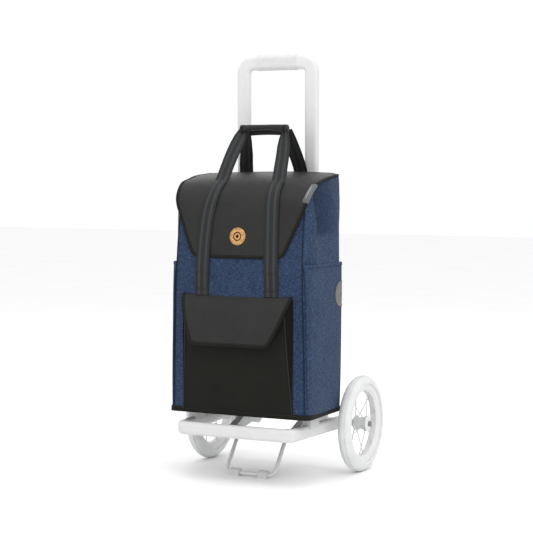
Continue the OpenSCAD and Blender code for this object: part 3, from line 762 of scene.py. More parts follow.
def bag_mesh():
    """The bag as one closed welded shell, its seams as lists of vertex indices, and each face's region."""
    grid = side_grid()
    n_deep, n_up = grid.shape[0] - 1, grid.shape[1] - 1
    loop = ([(0, i) for i in range(n_up)] + [(j, n_up) for j in range(n_deep)]
            + [(n_deep, i) for i in range(n_up, 0, -1)] + [(j, 0) for j in range(n_deep, 0, -1)])
    names = ["front"] * n_up + ["roof"] * n_deep + ["back"] * n_up + ["base"] * n_deep
    rim = np.array([grid[j, i] for j, i in loop])
    ahead = np.roll(rim, -1, axis=0) - np.roll(rim, 1, axis=0)
    out = np.stack([-ahead[:, 1], ahead[:, 0]], 1)
    out /= np.linalg.norm(out, axis=1, keepdims=True)
    turn = {key: k for k, key in enumerate(loop)}

    verts, faces, region = [], [], []
    ring = {}

    def at_rim(k, x):
        """Point across the profile at rim point k: level in the middle, turning down to the seams."""
        y, z = rim[k]
        r = edge_radius(z)
        t = np.clip((abs(x) - (HALF_W - r)) / r, 0, 1)
        turned = t * SEAM_TURN
        half = (HALF_W + (SIDE_PROUD if names[k] != "base" else 0)) - pulled_in(y, z)
        wide = min(abs(x), HALF_W - r) * (half - r) / (HALF_W - r) + r * math.sin(turned)
        p = rim[k] - out[k] * r * (1 - math.cos(turned))
        if names[k] == "front":
            p = p - np.array([front_swell(x, z), 0]) * (1 - t)
        if names[k] == "back":
            full = math.sin(math.pi * (z - BASE_Z) / (RIM_Z - BASE_Z))
            p = p + np.array([0.002 * (1 - (x / HALF_W) ** 2) * full, 0])
        return math.copysign(wide, x), p[0], p[1]

    edge_xs = np.array([0, 0.006, 0.012])
    middle_xs = np.linspace(-HALF_W + OUTER_R, HALF_W - OUTER_R, 45)
    xs = np.concatenate([-HALF_W + edge_xs, middle_xs, HALF_W - edge_xs[::-1]])
    for k in range(len(rim)):
        for m, x in enumerate(xs):
            ring[(k, m)] = len(verts)
            verts.append(at_rim(k, x))
    last = len(xs) - 1
    for k in range(len(rim)):
        l = (k + 1) % len(rim)
        for m in range(last):
            faces.append((ring[(k, m)], ring[(k, m + 1)], ring[(l, m + 1)], ring[(l, m)]))
            region.append(names[k])
    for s, side, end in ((-1, "left", 0), (1, "right", last)):
        index = {}
        for j in range(n_deep + 1):
            for i in range(n_up + 1):
                if (j, i) in turn:
                    index[(j, i)] = ring[(turn[(j, i)], end)]
                    continue
                p = grid[j, i]
                gap = np.linalg.norm(rim - p, axis=1)
                k = int(np.argmin(gap))
                d = max(abs(float((rim[k] - p) @ out[k])), 1e-4)
                r = edge_radius(rim[k][1])
                y, z = p
                wide = HALF_W + SIDE_PROUD - pulled_in(y, z) + side_swell(y, z) - side_dent(y, z)
                if d < r:
                    turned = math.pi / 2 - (r - d) / r * (math.pi / 2 - SEAM_TURN)
                    p = p + out[k] * (d - r * (1 - math.cos(turned)))
                    wide -= r * (1 - math.sin(turned))
                wide += float(ripple(np.array([y, z, s * 0.3]), 3, 40, 0.0007)) * min(1, d / 0.03)
                index[(j, i)] = len(verts)
                verts.append((s * wide, p[0], p[1]))
        for j in range(n_deep):
            for i in range(n_up):
                quad = [index[(j, i)], index[(j + 1, i)], index[(j + 1, i + 1)], index[(j, i + 1)]]
                faces.append(tuple(quad if s > 0 else quad[::-1]))
                region.append(side)
    obj = mesh_object("bag_shell", verts, faces)
    seams = {}
    for side, end in (("left", 0), ("right", last)):
        seams[f"front_{side}"] = [ring[(turn[(0, i)], end)] for i in range(n_up + 1)]
        seams[f"back_{side}"] = [ring[(turn[(n_deep, i)], end)] for i in range(n_up + 1)]
        seams[f"top_{side}"] = [ring[(turn[(j, n_up)], end)] for j in range(n_deep + 1)]
    return obj, seams, region


def part_of(obj, name, keep):
    """A new mesh with only the faces whose index is in keep."""
    bm = bmesh.new()
    bm.from_mesh(obj.data)
    bm.faces.ensure_lookup_table()
    spare = [f for f in bm.faces if f.index not in keep]
    bmesh.ops.delete(bm, geom=spare, context="FACES")
    mesh = bpy.data.meshes.new(name)
    bm.to_mesh(mesh)
    bm.free()
    for poly in mesh.polygons:
        poly.use_smooth = True
    piece = bpy.data.objects.new(name, mesh)
    bpy.context.scene.collection.objects.link(piece)
    return piece


def lined_piece(obj, material, thickness, body, slot, *nodes):
    """Makes a sheet into lined cloth, with its outer material, thickness, body and CAD nodes. slot is not
    used.
    """
    obj.data.materials.append(MATERIALS[material])
    obj.data.materials.append(MATERIALS["lining"])
    m = obj.modifiers.new("thick", "SOLIDIFY")
    m.thickness = thickness
    m.offset = -1
    m.material_offset = 1
    apply_modifiers(obj)
    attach(obj, body)
    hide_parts(*nodes)


def build_bag():
    """The shell, swollen and cut into its panels, with cords in the seams. Returns the shell's points."""
    shell, seams, region = bag_mesh()
    fix_normals(shell)
    rest = np.array([v.co for v in shell.data.vertices])
    pin = np.where(rest[:, 2] < BASE_Z + 0.004, 1.0, 0.0)
    for key, line in seams.items():
        pin[line] = 0.8
    puff(shell, pressure=3.0, cap=0.005, pin=pin)
    final = np.array([v.co for v in shell.data.vertices])
    panels = (("bag_front_panel", "front", "blue_fabric", "bag_front"),
              ("bag_back_panel", "back", "flap_fabric", "bag_back"),
              ("bag_base_panel", "base", "black_fabric", "bag_base"),
              ("bag_left_panel", "left", "side_fabric", "bag_side_left"),
              ("bag_right_panel", "right", "side_fabric", "bag_side_right"))
    for name, part, fabric, node in panels:
        piece = part_of(shell, name, {i for i, r in enumerate(region) if r == part})
        lined_piece(piece, fabric, PANEL_T, "bag", fabric, node)
    bpy.data.objects.remove(shell)
    for s, side in SIDES:
        for edge, push in (("front", (s * 0.0004, -0.0006, 0)), ("back", (s * 0.0004, 0.0006, 0)),
                           ("top", (s * 0.0003, 0, 0.0006))):
            line = final[seams[f"{edge}_{side}"]] + np.array(push)
            cord = piping(f"{edge}_seam_{side}", line, 0.0013)
            finish_piece(cord, "seam", "bag")
    build_base_binding(final)
    return final


def build_base_binding(final):
    """Dark tape folded round the bag's bottom edge."""
    low = final[final[:, 2] < BASE_Z + 0.014]
    x1 = np.abs(low[:, 0]).max() - 0.0005
    y0, y1 = low[:, 1].min() + 0.0005, low[:, 1].max() - 0.0005
    r = OUTER_R
    centres = ((x1 - r, y1 - r), (r - x1, y1 - r), (r - x1, y0 + r), (x1 - r, y0 + r))
    corner = []
    for quarter, (cx, cy) in enumerate(centres):
        for a in np.radians(np.linspace(90 * quarter, 90 * quarter + 90, 9)):
            corner.append((cx + r * math.cos(a), cy + r * math.sin(a), BASE_Z + 0.0066))
    loop = resample(np.array(corner), 0.005, closed=True)
    loop[:, 2] += ripple(loop, 11, 25, 0.0003)
    ahead = tangents(loop, True)
    out = np.cross(ahead, [0, 0, 1.0])
    rise = 1.0 if np.cross(out[0], ahead[0])[2] > 0 else -1.0
    profile = [(0.0066, 0.0016), (0.0056, 0.0030), (0.001, 0.0034), (-0.004, 0.0030), (-0.0064, 0.0016),
               (-0.0068, -0.006), (-0.0056, -0.0066), (0.0056, -0.0030)]
    tape = sweep("base_binding", loop, out, [(a * rise, b) for a, b in profile], closed=True)
    finish_piece(tape, "binding", "bag")
    around, outward = np.vstack([loop, loop[:1]]), np.vstack([out, out[:1]])
    thread = stitches("base_stitching", around + outward * 0.0033 + np.array([0, 0, 0.0036]), outward)
    finish_piece(thread, "thread", "bag")


# ---------------------------------------------------------------- main flap

# How far the flap's inner face stands off the bag, its thickness, and the radius of its lower corners
FLAP_OUT = 0.0028
FLAP_T = 0.0024
FLAP_CORNER = 0.028


def flap_half_width(z):
    """Half the flap's width at height z on its front drop."""
    a = np.radians(np.arange(-90, -23, 5.5))
    xs = list(0.1072 + FLAP_CORNER * np.cos(a)) + [0.161, 0.1775, 0.1835, HALF_W + 0.001]
    zs = list(FLAP_LOW_Z + FLAP_CORNER * (1 + np.sin(a))) + [0.642, 0.684, 0.708, 0.748]
    return np.interp(z, zs, xs)


def flap_rows():
    """Centre line of the flap as (y, z), outward normal (y, z), and half width, from back to front."""
    line = CURVE[CURVE[:, 1] > FLAP_LOW_Z + 0.019]
    zs = FLAP_LOW_Z + FLAP_CORNER * (1 + np.sin(np.radians(np.arange(-24, -91, -5.5))))
    line = np.vstack([line, [(float(front_line(z)), z) for z in zs if z < line[-1][1] - 0.001]])
    t = np.gradient(line, axis=0)
    t /= np.linalg.norm(t, axis=1, keepdims=True)
    normal = np.stack([t[:, 1], -t[:, 0]], 1)
    full = HALF_W + 0.0005 - 0.0045 * smoothstep(-0.06, BACK_Y, line[:, 0])
    half = np.where(line[:, 1] > 0.748, full, flap_half_width(line[:, 1]))
    return line, normal, half


def flap_surface():
    """Rows of points on the flap's outer face, and their outward normals."""
    line, normal, half = flap_rows()
    cols = 64
    rows, normals = [], []
    for (y, z), (ny, nz), w in zip(line, normal, half):
        ear = 0.0065 * float(smoothstep(0.655, 0.715, z) * smoothstep(0.03, 0.10, -y))
        x = np.linspace(-w - ear, w, cols + 1)
        low = float(1 - smoothstep(0.66, 0.72, z))
        crown = 0.0048 * (1 - (x / HALF_W) ** 2) * float(smoothstep(0.70, 0.76, z))
        wave = ripple(np.stack([x, np.full_like(x, y), np.full_like(x, z)], 1), 21, 22, 0.0010)
        hem = 0.0010 * np.cos(x * 40) * float(1 - smoothstep(FLAP_LOW_Z, 0.60, z))
        lift = FLAP_OUT + FLAP_T + front_swell(x, z) * low + crown + wave + hem
        droop = 0.0035 * smoothstep(0.165, 0.192, np.abs(x)) * float(smoothstep(0.745, 0.762, z))
        droop = np.where(x < 0, droop * float(1 - smoothstep(-0.085, -0.045, y)), droop)
        rows.append(np.stack([x, y + ny * lift, z + nz * lift - droop], 1))
        normals.append(np.tile([0, ny, nz], (cols + 1, 1)))
    return np.array(rows), np.array(normals)


def edge_path(rows, normals, inset):
    """Runs down the left edge, along the front edge and up the right edge, inset from the border."""
    n, m = rows.shape[:2]
    left = [(i, 0) for i in range(n - 1)]
    front = [(n - 1, j) for j in range(m)]
    right = [(i, m - 1) for i in range(n - 2, -1, -1)]
    order = left + front + right
    path = np.array([rows[i][j] for i, j in order])
    normal = np.array([normals[i][j] for i, j in order])
    keep = np.concatenate([[True], np.linalg.norm(np.diff(path, axis=0), axis=1) > 1e-5])
    path, normal = path[keep], normal[keep]
    t = tangents(path)
    inward = np.cross(normal, t)
    inward /= np.maximum(np.linalg.norm(inward, axis=1, keepdims=True), 1e-9)
    return path + inward * inset, normal, inward


def interpolated(at, s, values):
    """The values, given at distances s, at the distances in at."""
    return np.stack([np.interp(at, s, values[:, k]) for k in range(3)], 1)


def evenly(path, normal, step):
    """The same path and normals with even spacing close to step."""
    s = lengths(path)
    at = np.linspace(0, s[-1], max(2, int(s[-1] / step) + 1))
    n = interpolated(at, s, normal)
    return interpolated(at, s, path), n / np.maximum(np.linalg.norm(n, axis=1, keepdims=True), 1e-9)


def bind_edge(name, rows, normals, body):
    """Sews binding tape round a flap's free edges, with a row of stitches along it."""
    path, normal = evenly(*edge_path(rows, normals, 0.0)[:2], 0.003)
    w, t = 0.0075, FLAP_T
    profile = [(-0.0012, -t / 2), (-0.0008, 0.0004), (0.0004, 0.0010), (w - 0.001, 0.0009), (w, 0.0001),
               (w, -t - 0.0001), (w - 0.001, -t - 0.0009), (0.0004, -t - 0.0010), (-0.0008, -t - 0.0004)]
    tape = sweep(f"{name}_binding", path, normal, [(-a, b) for a, b in profile])
    finish_piece(tape, "binding", body)
    line, up = edge_path(rows, normals, w - 0.0022)[:2]
    thread = stitches(f"{name}_stitching", *evenly(line + up * 0.0009, up, 0.003))
    finish_piece(thread, "thread", body)
    return [tape, thread]


def build_flap():
    """The lined main flap with its bound edge. Returns the rows and normals of its outer face."""
    rows, normals = flap_surface()
    flap = grid_object("main_flap_cloth", rows)
    fix_towards(flap, (0, -0.4, 1.0))
    lined_piece(flap, "flap_fabric", FLAP_T, "flap", "flap_fabric", "main_flap")
    trim = bind_edge("main_flap", rows, normals, "flap")
    build_flap_hinge(rows)
    return rows, normals


def build_flap_hinge(rows):
    """Cloth strip over the flap's back edge, sewn to the back panel."""
    half = rows[0, -1, 0] - 0.003
    behind = BACK_Y + 0.0008
    lines = []
    for x in np.linspace(-half, half, 61):
        near = [np.array([np.interp(x, row[:, 0], row[:, k]) for k in range(3)]) for row in rows[:4]]
        edge = near[0][2]
        over = [(p[1], p[2] + 0.0004) for p in near[:0:-1]]
        bend = [(BACK_Y - 0.0012, edge + 0.0003), (BACK_Y + 0.0003, edge - 0.0008), (behind, edge - 0.0030)]
        down = [(behind, z) for z in np.linspace(edge - 0.0060, RIM_Z - 0.011, 6)]
        lines.append([(x, y, z) for y, z in over + bend + down])
    strip = grid_object("main_flap_hinge", np.array(lines))
    fix_towards(strip, (0, 1.0, 0.5))
    strip.data.materials.append(MATERIALS["flap_fabric"])
    solidify(strip, 0.0006)
    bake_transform(strip)


def fix_towards(obj, direction):
    """Turns all faces so that their mean normal points along direction."""
    mesh = obj.data
    mean = sum((Vector(p.normal) * p.area for p in mesh.polygons), Vector())
    if mean.dot(Vector(direction)) < 0:
        mesh.flip_normals()


def build_badge(rows, normals):
    """Round cork-leather badge with a stitched rim and a plain mark: a ring round a dot."""
    radius = 0.022
    low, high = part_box("badge")
    cz = (low[2] + high[2]) / 2
    mid = rows.shape[1] // 2
    row = int(np.argmin(np.abs(rows[:, mid, 2] - cz)))
    out = unit(normals[row, mid])
    up = unit(np.cross(out, [1.0, 0, 0]))
    up = up if up[2] > 0 else -up
    near = [r for r in range(len(rows)) if abs(rows[r, mid, 2] - cz) < radius + 0.001]
    proud = max(float((p - rows[row, mid]) @ out) for r in near for p in rows[r] if abs(p[0]) < radius)
    centre = rows[row, mid] + out * proud

    def circle(r, lift, count):
        """Points of a circle on the disc."""
        level = np.array([1.0, 0, 0])
        return [centre + level * r * math.cos(a) + up * r * math.sin(a) + out * lift for a in turns(count)]

    sides = 64
    rings = [(0.25, 0.0024), (0.5, 0.0024), (0.75, 0.0024), (0.9, 0.0024), (0.965, 0.0021),
             (0.995, 0.0012), (1.0, -0.0010)]
    verts, faces = [centre + out * rings[0][1]], []
    for f, lift in rings:
        verts += circle(radius * f, lift, sides)
    for k in range(sides):
        faces.append((0, 1 + k, 1 + (k + 1) % sides))
    for r in range(len(rings) - 1):
        inner, outer = 1 + r * sides, 1 + (r + 1) * sides
        for k in range(sides):
            l = (k + 1) % sides
            faces.append((inner + k, outer + k, outer + l, inner + l))
    faces.append(tuple(1 + (len(rings) - 1) * sides + k for k in range(sides)))
    disc = mesh_object("badge_disc", verts, faces)
    fix_normals(disc)
    finish_piece(disc, "cork", "flap", ["badge"])

    line = circle(0.0193, 0.0025, 72)
    line.append(line[0])
    thread = stitches("badge_stitching", line, [out] * len(line), 0.0030, 0.0020, 0.0003)
    finish_piece(thread, "thread", "flap")
    for name, r, wide in (("badge_mark_ring", 0.0100, 0.0026), ("badge_mark_dot", 0.0020, 0.0042)):
        path = circle(r, 0.0025, 48)
        piece = sweep(name, path, [out] * len(path), oval_profile(wide, 0.0007, 10), closed=True)
        finish_piece(piece, "binding", "flap")


def build_tag(rows, normals):
    """Grey ribbon folded over the flap's right edge where it turns down the brow."""
    path, normal, inward = edge_path(rows, normals, 0.0)
    s = lengths(path)
    half, middle_z = 0.030, 0.7265
    right = np.nonzero(path[:, 0] >= 0)[0]
    middle = s[right[np.argmin(np.abs(path[right, 2] - middle_z))]]
    at = np.arange(middle - half, middle + half + 0.0005, 0.003)
    p, n, d = (interpolated(at, s, values) for values in (path, normal, inward))
    n /= np.linalg.norm(n, axis=1, keepdims=True)
    d /= np.linalg.norm(d, axis=1, keepdims=True)
    section = [(0.013, 0.0014), (0.009, 0.0016), (0.004, 0.0019), (0.0, 0.0021), (-0.0016, 0.0012),
               (-0.0021, -0.0012), (-0.0016, -0.0036), (0.0, -0.0045), (0.004, -0.0043), (0.009, -0.0040),
               (0.013, -0.0038)]
    grid = [[p[k] + d[k] * a + n[k] * b for a, b in section] for k in range(len(p))]
    tag = grid_object("edge_tag_ribbon", grid)
    fix_towards(tag, (0, -1, 0.6))
    solidify(tag, 0.0007, 0)
    finish_piece(tag, "ribbon", "flap", ["edge_tag"])
    line = (p + d * 0.0075 + n * 0.0021)[4:-4]
    stripe = sweep("edge_tag_stripe", line, n[4:-4], oval_profile(0.0022, 0.0006, 10))
    finish_piece(stripe, "ribbon_light", "flap")


# ---------------------------------------------------------------- carrying straps

def strap_profile(width=STRAP_W, t=0.0015, n=20):
    """Webbing section: two raised ribs and softly rolled edges, as (across, out)."""
    xs = np.linspace(-width / 2, width / 2, n)
    rib = [t / 2 + 0.0003 * math.exp(-((abs(x) - RIB_X) / 0.0022) ** 2) for x in xs]
    edge = [1 - 0.5 * smoothstep(width / 2 - 0.0012, width / 2, abs(x)) for x in xs]
    top = [(x, r * e) for x, r, e in zip(xs, rib, edge)]
    return top + [(x, -t / 2 * e) for x, e in reversed(list(zip(xs, edge)))]


def strap_object(name, points, material, body, node, widths, roll):
    """A webbing strap through points. widths scales it and roll turns it, in degrees, at each of them."""
    pts = np.asarray(points, float)
    path = curve_through(pts)
    s = lengths(path)
    near = [int(np.argmin(np.linalg.norm(path - q, axis=1))) for q in pts]
    t = tangents(path)
    normal = np.cross([1.0, 0, 0], t)
    turn = np.interp(s, s[near], np.radians(roll))[:, None]
    normal = normal * np.cos(turn) + np.cross(t, normal) * np.sin(turn)
    strap = sweep(name, path, normal, strap_profile(), taper=np.interp(s, s[near], widths))
    finish_piece(strap, material, body, [node])


def box_stitch(name, cx, z0, z1, y, body):
    """A box of stitches on a strap's sewn end, with a double row at its top and bottom."""
    x0, x1 = cx - STRAP_W / 2 + 0.004, cx + STRAP_W / 2 - 0.004
    seams = [((x0, y, z), (x1, y, z), 0.0034, 0.0026) for z in (z0, z0 + 0.004, z1 - 0.004, z1)]
    seams += [((x, y, z0), (x, y, z1), 0.0042, 0.0028) for x in (x0, x1)]
    for k, (start, end, pitch, long) in enumerate(seams):
        path = resample([start, end], 0.002)
        thread = stitches(f"{name}_{k}", path, [(0, -1, 0)] * len(path), pitch, long)
        finish_piece(thread, "thread", body)


def strap_x(z):
    """Distance of the front straps' middle line from the centre at height z."""
    return np.interp(z, (0.476, 0.561, 0.614, 0.667, 0.720, 0.773, 0.827, 0.886),
                     (0.097, 0.0955, 0.0938, 0.0905, 0.0845, 0.0785, 0.0715, 0.0580))


def foremost(bag, x, low, high):
    """The furthest forward that the bag's points stand under a front strap, between two heights."""
    under = (np.abs(bag[:, 0] - x) < STRAP_W / 2 + 0.004) & (bag[:, 2] > low) & (bag[:, 2] < high)
    return float(bag[under][:, 1].min())


def build_front_straps(bag):
    """Front pair: sewn to the front panel, over the flap and its brow, gathered into the wrapped grip.

    The sewn foot under each strap's fold stays on the bag when the strap drops.
    """
    foot_x = float(strap_x(0))
    low_z = STRAP_LOW_Z + 0.001
    line, normal = flap_rows()[:2]
    face = foremost(bag, foot_x, low_z, 0.545) - 0.0011
    lying = [(face, low_z), (face, 0.505), (face - 0.0004, 0.536)]
    for z in (0.570, 0.600, 0.630, 0.660, 0.685, 0.703, 0.718, 0.731, 0.741, 0.7475):
        k = int(np.argmin(np.abs(line[:, 1] - z)))
        lift = FLAP_OUT + FLAP_T + 0.0018 + 0.0037 * float(smoothstep(0.70, 0.76, z))
        lift += float(front_swell(foot_x, z)) * float(1 - smoothstep(0.66, 0.72, z))
        lying.append((line[k][0] + normal[k][0] * lift, line[k][1] + normal[k][1] * lift))
    y0, z0 = lying[-1]
    y1, z1 = GRIP_Y, (GRIP_LOW[2] + GRIP_HIGH[2]) / 2 + 0.001
    rising = [(y0 + (y1 - y0) * f, z0 + (z1 - z0) * f) for f in (0.25, 0.5, 0.7, 0.85, 0.94, 1.0)]
    widths = [1] * len(lying) + [1, 1, 0.98, 0.86, 0.66, 0.5]
    for s, side in SIDES:
        points = [(s * float(strap_x(z)), y, z) for y, z in lying + rising]
        roll = [0] * len(lying) + [-s * 2, -s * 5, -s * 10, -s * 18, -s * 26, -s * 30]
        strap_object(f"front_strap_{side}_webbing", points, "webbing", "front_handles",
                     f"front_strap_{side}", widths, roll)
        box_stitch(f"front_strap_{side}_stitching", s * foot_x, low_z + 0.003, 0.529, face - 0.0014,
                   "front_handles")
        sewn = np.linspace(COVER_TOP_Z - 0.003, low_z + 0.001, 6)
        foot = sweep(f"front_strap_{side}_foot", [(s * foot_x, face + 0.0002, z) for z in sewn],
                     [(0, -1, 0)] * len(sewn), strap_profile())
        finish_piece(foot, "webbing", "bag")


def build_rear_straps():
    """Rear pair: sewn to the back panel's top edge, leaning forward to the grip."""
    low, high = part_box("rear_band")
    band_y, band_z = (low[1] + high[1]) / 2, (low[2] + high[2]) / 2 + 0.004
    y = BACK_Y + 0.0022
    bend = np.array([0.0762, y - 0.005, 0.795])
    end = np.array([0.0580, band_y, band_z])
    rising = [tuple(bend + (end - bend) * f) for f in (0.35, 0.75, 1.0)]
    for s, side in SIDES:
        points = [(s * x, y, z) for x, y, z in [(0.078, y, 0.757), (0.078, y, 0.780), tuple(bend)] + rising]
        strap_object(f"rear_strap_{side}_webbing", points, "webbing_rear", "rear_handles",
                     f"rear_strap_{side}", [1, 1, 1, 0.97, 0.8, 0.6], [0, 0, 0, s * 3, s * 10, s * 20])
    ends = high[0] + 0.012
    xs = np.linspace(-ends, ends, 25)
    path = [(x, band_y, band_z - 0.002 * (x / ends) ** 2) for x in xs]
    band = sweep("rear_band_webbing", path, [(0, 1, 0)] * len(path), strap_profile(0.024, 0.0017, 10))
    finish_piece(band, "webbing_rear", "rear_handles", ["rear_band"])


def build_grip():
    """Padded wrap round the gathered straps, thinner in the middle, closed with a seam underneath."""
    end = GRIP_HIGH[0]
    rows = []
    for x in np.linspace(-end, end, 45):
        f = abs(x) / end
        half = 0.0070 + 0.0048 * f ** 2.2
        depth = 0.0108 + 0.0006 * f
        close = math.sqrt(max(0.0, 1 - max(0.0, (f - 0.955) / 0.045) ** 2)) * 0.45 + 0.55
        cz = GRIP_HIGH[2] - half - 0.0008 * f ** 6
        ring = []
        for a in turns(24):
            c, s = math.cos(a), math.sin(a)
            ring.append((x, GRIP_Y + depth * close * math.copysign(abs(c) ** 0.75, c),
                         cz + half * close * math.copysign(abs(s) ** 0.75, s)))
        rows.append(ring)
    rows = np.array(rows)
    rows += ripple(rows, 31, 130, 0.0004)[..., None] * np.array([0, 0.6, 0.8])
    n, m = rows.shape[:2]
    wrap = grid_object("grip_wrap_cloth", rows, wrap=True)
    bm = bmesh.new()
    bm.from_mesh(wrap.data)
    bm.verts.ensure_lookup_table()
    bm.faces.new([bm.verts[j] for j in range(m)])
    bm.faces.new([bm.verts[(n - 1) * m + j] for j in range(m)])
    bmesh.ops.recalc_face_normals(bm, faces=bm.faces)
    bm.to_mesh(wrap.data)
    bm.free()
    finish_piece(wrap, "flap_fabric", "front_handles", ["grip_wrap"])
    line = rows[:, m // 2 + 2] + np.array([0, -0.0004, -0.0002])
    thread = stitches("grip_stitching", line, [(0, -1, -0.2)] * len(line))
    finish_piece(thread, "thread", "front_handles")
    for side, ring in (("left", rows[3]), ("right", rows[-4])):
        outward = ring - ring.mean(axis=0)
        hem = sweep(f"grip_hem_{side}", ring, outward, oval_profile(0.0045, 0.0014, 10), closed=True)
        finish_piece(hem, "binding", "front_handles")


# ---------------------------------------------------------------- front pocket

def pocket_line(v):
    """The pocket skin's path at v, from 0 at its foot to 1 at its open top, as (y, z)."""
    foot = np.array([FRONT_Y - BULGE_FRONT * 0.6, POCKET_LOW[2] + 0.001])
    head = np.array([POCKET_LOW[1] - 0.0005, POCKET_HIGH[2]])
    p = foot + (head - foot) * v
    return p[0] - 0.0025 * math.sin(math.pi * v) ** 0.8, p[1]


def pocket_half_width(v):
    """Half the pocket skin's width at v."""
    return 0.1525 - 0.0145 * v


def build_pocket():
    """The pocket's lined skin, leaning out to its open top, with a folded gusset on each side."""
    rows = []
    for v in np.linspace(0, 1, 54):
        y, z = pocket_line(v)
        half = pocket_half_width(v)
        x = np.linspace(-half, half, 61)
        across = 1 - (x / half) ** 2
        swell = 0.003 * np.sqrt(np.clip(across, 0, 1)) * math.sin(math.pi * min(1, v * 1.05 + 0.02)) ** 0.6
        pucker = ripple(np.stack([x, np.full_like(x, 0.3), np.full_like(x, z)], 1), 41, 34, 0.0010)
        rows.append(np.stack([x, y - swell + pucker * across * v, np.full_like(x, z)], 1))
    rows = np.array(rows)
    skin = grid_object("pocket_skin", rows)
    fix_towards(skin, (0, -1, 0))
    lined_piece(skin, "black_fabric", 0.002, "bag", "black_fabric", "pocket_front", "pocket_gussets")
    for s, side, col in ((-1, "left", 0), (1, "right", -1)):
        edge = rows[:, col]
        # The pocket's side piping takes the lighter charcoal cloth as a painted highlight along its edges.
        seam = piping(f"pocket_seam_{side}", edge + np.array([s * 0.0004, 0, 0]), 0.0014)
        finish_piece(seam, "flap_fabric", "bag")
        gusset = []
        for k in range(len(edge)):
            v = k / (len(edge) - 1)
            z = edge[0][2] + (0.463 - edge[0][2]) * v
            back = np.array([s * 0.1533, float(bag_face_y(0.1533, z)) - 0.0005, z])
            line = []
            for w in np.linspace(0, 1, 13):
                p = edge[k] * (1 - w) + back * w
                fold = math.sin(math.pi * w) * (0.0025 * v + 0.0005)
                line.append(p + np.array([-s * fold, 0, 0]))
            gusset.append(line)
        piece = grid_object(f"pocket_gusset_{side}", gusset)
        fix_towards(piece, (s, 0, 0))
        solidify(piece, 0.0015, -1)
        # The gussets take the darker nylon as painted shade.
        finish_piece(piece, "gusset", "bag")
        back_line = np.array([g[-1] for g in gusset]) + np.array([s * 0.001, -0.0006, 0])
        seam = piping(f"gusset_seam_{side}", back_line, 0.0011)
        finish_piece(seam, "binding", "bag")
    hem = rows[-1] + np.array([0, 0.001, 0])
    tape = sweep("pocket_hem", hem, [(0, 0, 1)] * len(hem), oval_profile(0.0045, 0.0024, 10))
    finish_piece(tape, "binding", "bag")


COVER_CORNER = 0.022
COVER_CORNER_Z = 0.369


def cover_half_width(z):
    """Half the pocket flap's width at height z."""
    a = np.radians(np.arange(-90, -24, 6.5))
    xs = list(0.0933 + COVER_CORNER * np.cos(a)) + [0.135, 0.153, 0.153]
    zs = list(COVER_CORNER_Z + COVER_CORNER * np.sin(a)) + [0.408, 0.464, 0.480]
    return np.interp(z, zs, xs)


def build_cover():
    """Pocket flap: hinged under the straps, leaning out over the pocket's mouth and down its front."""
    drop = [(FRONT_Y - 0.0045, COVER_TOP_Z), (-0.184, 0.461), (-0.193, 0.446), (-0.201, 0.425),
            (-0.208, 0.402), (-0.2155, 0.376), (-0.2235, 0.347)]
    shape = curve_through([(0, y, z) for y, z in drop])
    zs = shape[:, 2]
    arc = COVER_CORNER_Z + COVER_CORNER * np.sin(np.radians(np.arange(-25, -91, -6.5)))
    body = shape[zs > 0.3605]
    tail = [(0, np.interp(z, zs[::-1], shape[::-1, 1]), z) for z in arc]
    line = np.vstack([body, tail])
    normal = np.cross(tangents(line), [1.0, 0, 0])
    if normal[:, 1].mean() > 0:
        normal = -normal
    rows, normals = [], []
    for p, n in zip(line, normal):
        w = float(cover_half_width(p[2]))
        x = np.linspace(-w, w, 53)
        free = float(smoothstep(0.468, 0.430, p[2]))
        low = float(smoothstep(0.385, 0.352, p[2]))
        wave = ripple(np.stack([x, np.full_like(x, 0.2), np.full_like(x, p[2])], 1), 51, 30, 0.0012)
        swell = (0.0015 * (1 - (x / 0.153) ** 2) + wave) * free + low * 0.0012 * np.cos(x * 55)
        rows.append(np.stack([x, p[1] + n[1] * swell, p[2] + n[2] * swell], 1))
        normals.append(np.tile(n, (53, 1)))
    rows, normals = np.array(rows), np.array(normals)
    cover = grid_object("pocket_cover_cloth", rows)
    fix_towards(cover, (0, -1, 0.3))
    lined_piece(cover, "flap_fabric", FLAP_T, "pocket_cover", "flap_fabric", "pocket_flap")
    trim = bind_edge("pocket_cover", rows, normals, "pocket_cover")


# ---------------------------------------------------------------- side pockets

def build_side_pockets():
    """Open pockets laid on the lower sides, a little slack at their hemmed mouths."""
    y0, y1 = FRONT_Y + 0.0055, BACK_Y - 0.0055
    for s, side in SIDES:
        rows = []
        for v in np.linspace(0, 1, 60):
            z = BASE_Z + 0.006 + v * (SIDE_POCKET_Z - BASE_Z - 0.006)
            y = np.linspace(y0, y1, 61)
            through = np.clip(1 - ((y - (y0 + y1) / 2) / ((y1 - y0) / 2)) ** 2, 0, 1)
            loose = 0.0018 * smoothstep(0.55, 1.0, v) * through ** 0.5
            wave = ripple(np.stack([y, np.full_like(y, z), np.full_like(y, s)], 1), 61, 32, 0.0009)
            wave *= through
            x = side_x(y, z) + 0.0012 + 0.0030 * through ** 0.35 + loose + wave
            rows.append(np.stack([s * x, y, np.full_like(y, z)], 1))
        rows = np.array(rows)
        skin = grid_object(f"side_pocket_{side}_cloth", rows)
        fix_towards(skin, (s, 0, 0))
        solidify(skin, 0.0015, -1)
        finish_piece(skin, "side_fabric", "bag", [f"side_pocket_{side}"])
        hem = rows[-1] - np.array([s * 0.0003, 0, 0.004])
        normal = [(s, 0, 0)] * len(hem)
        tape = sweep(f"side_pocket_{side}_hem", hem, normal, oval_profile(0.009, 0.0030, 14, 3.5))
        finish_piece(tape, "side_fabric", "bag")
        thread = stitches(f"side_pocket_{side}_stitching", hem + np.array([s * 0.0015, 0, -0.0035]), normal)
        finish_piece(thread, "thread_dark", "bag")
        build_reflector(s, side, rows)


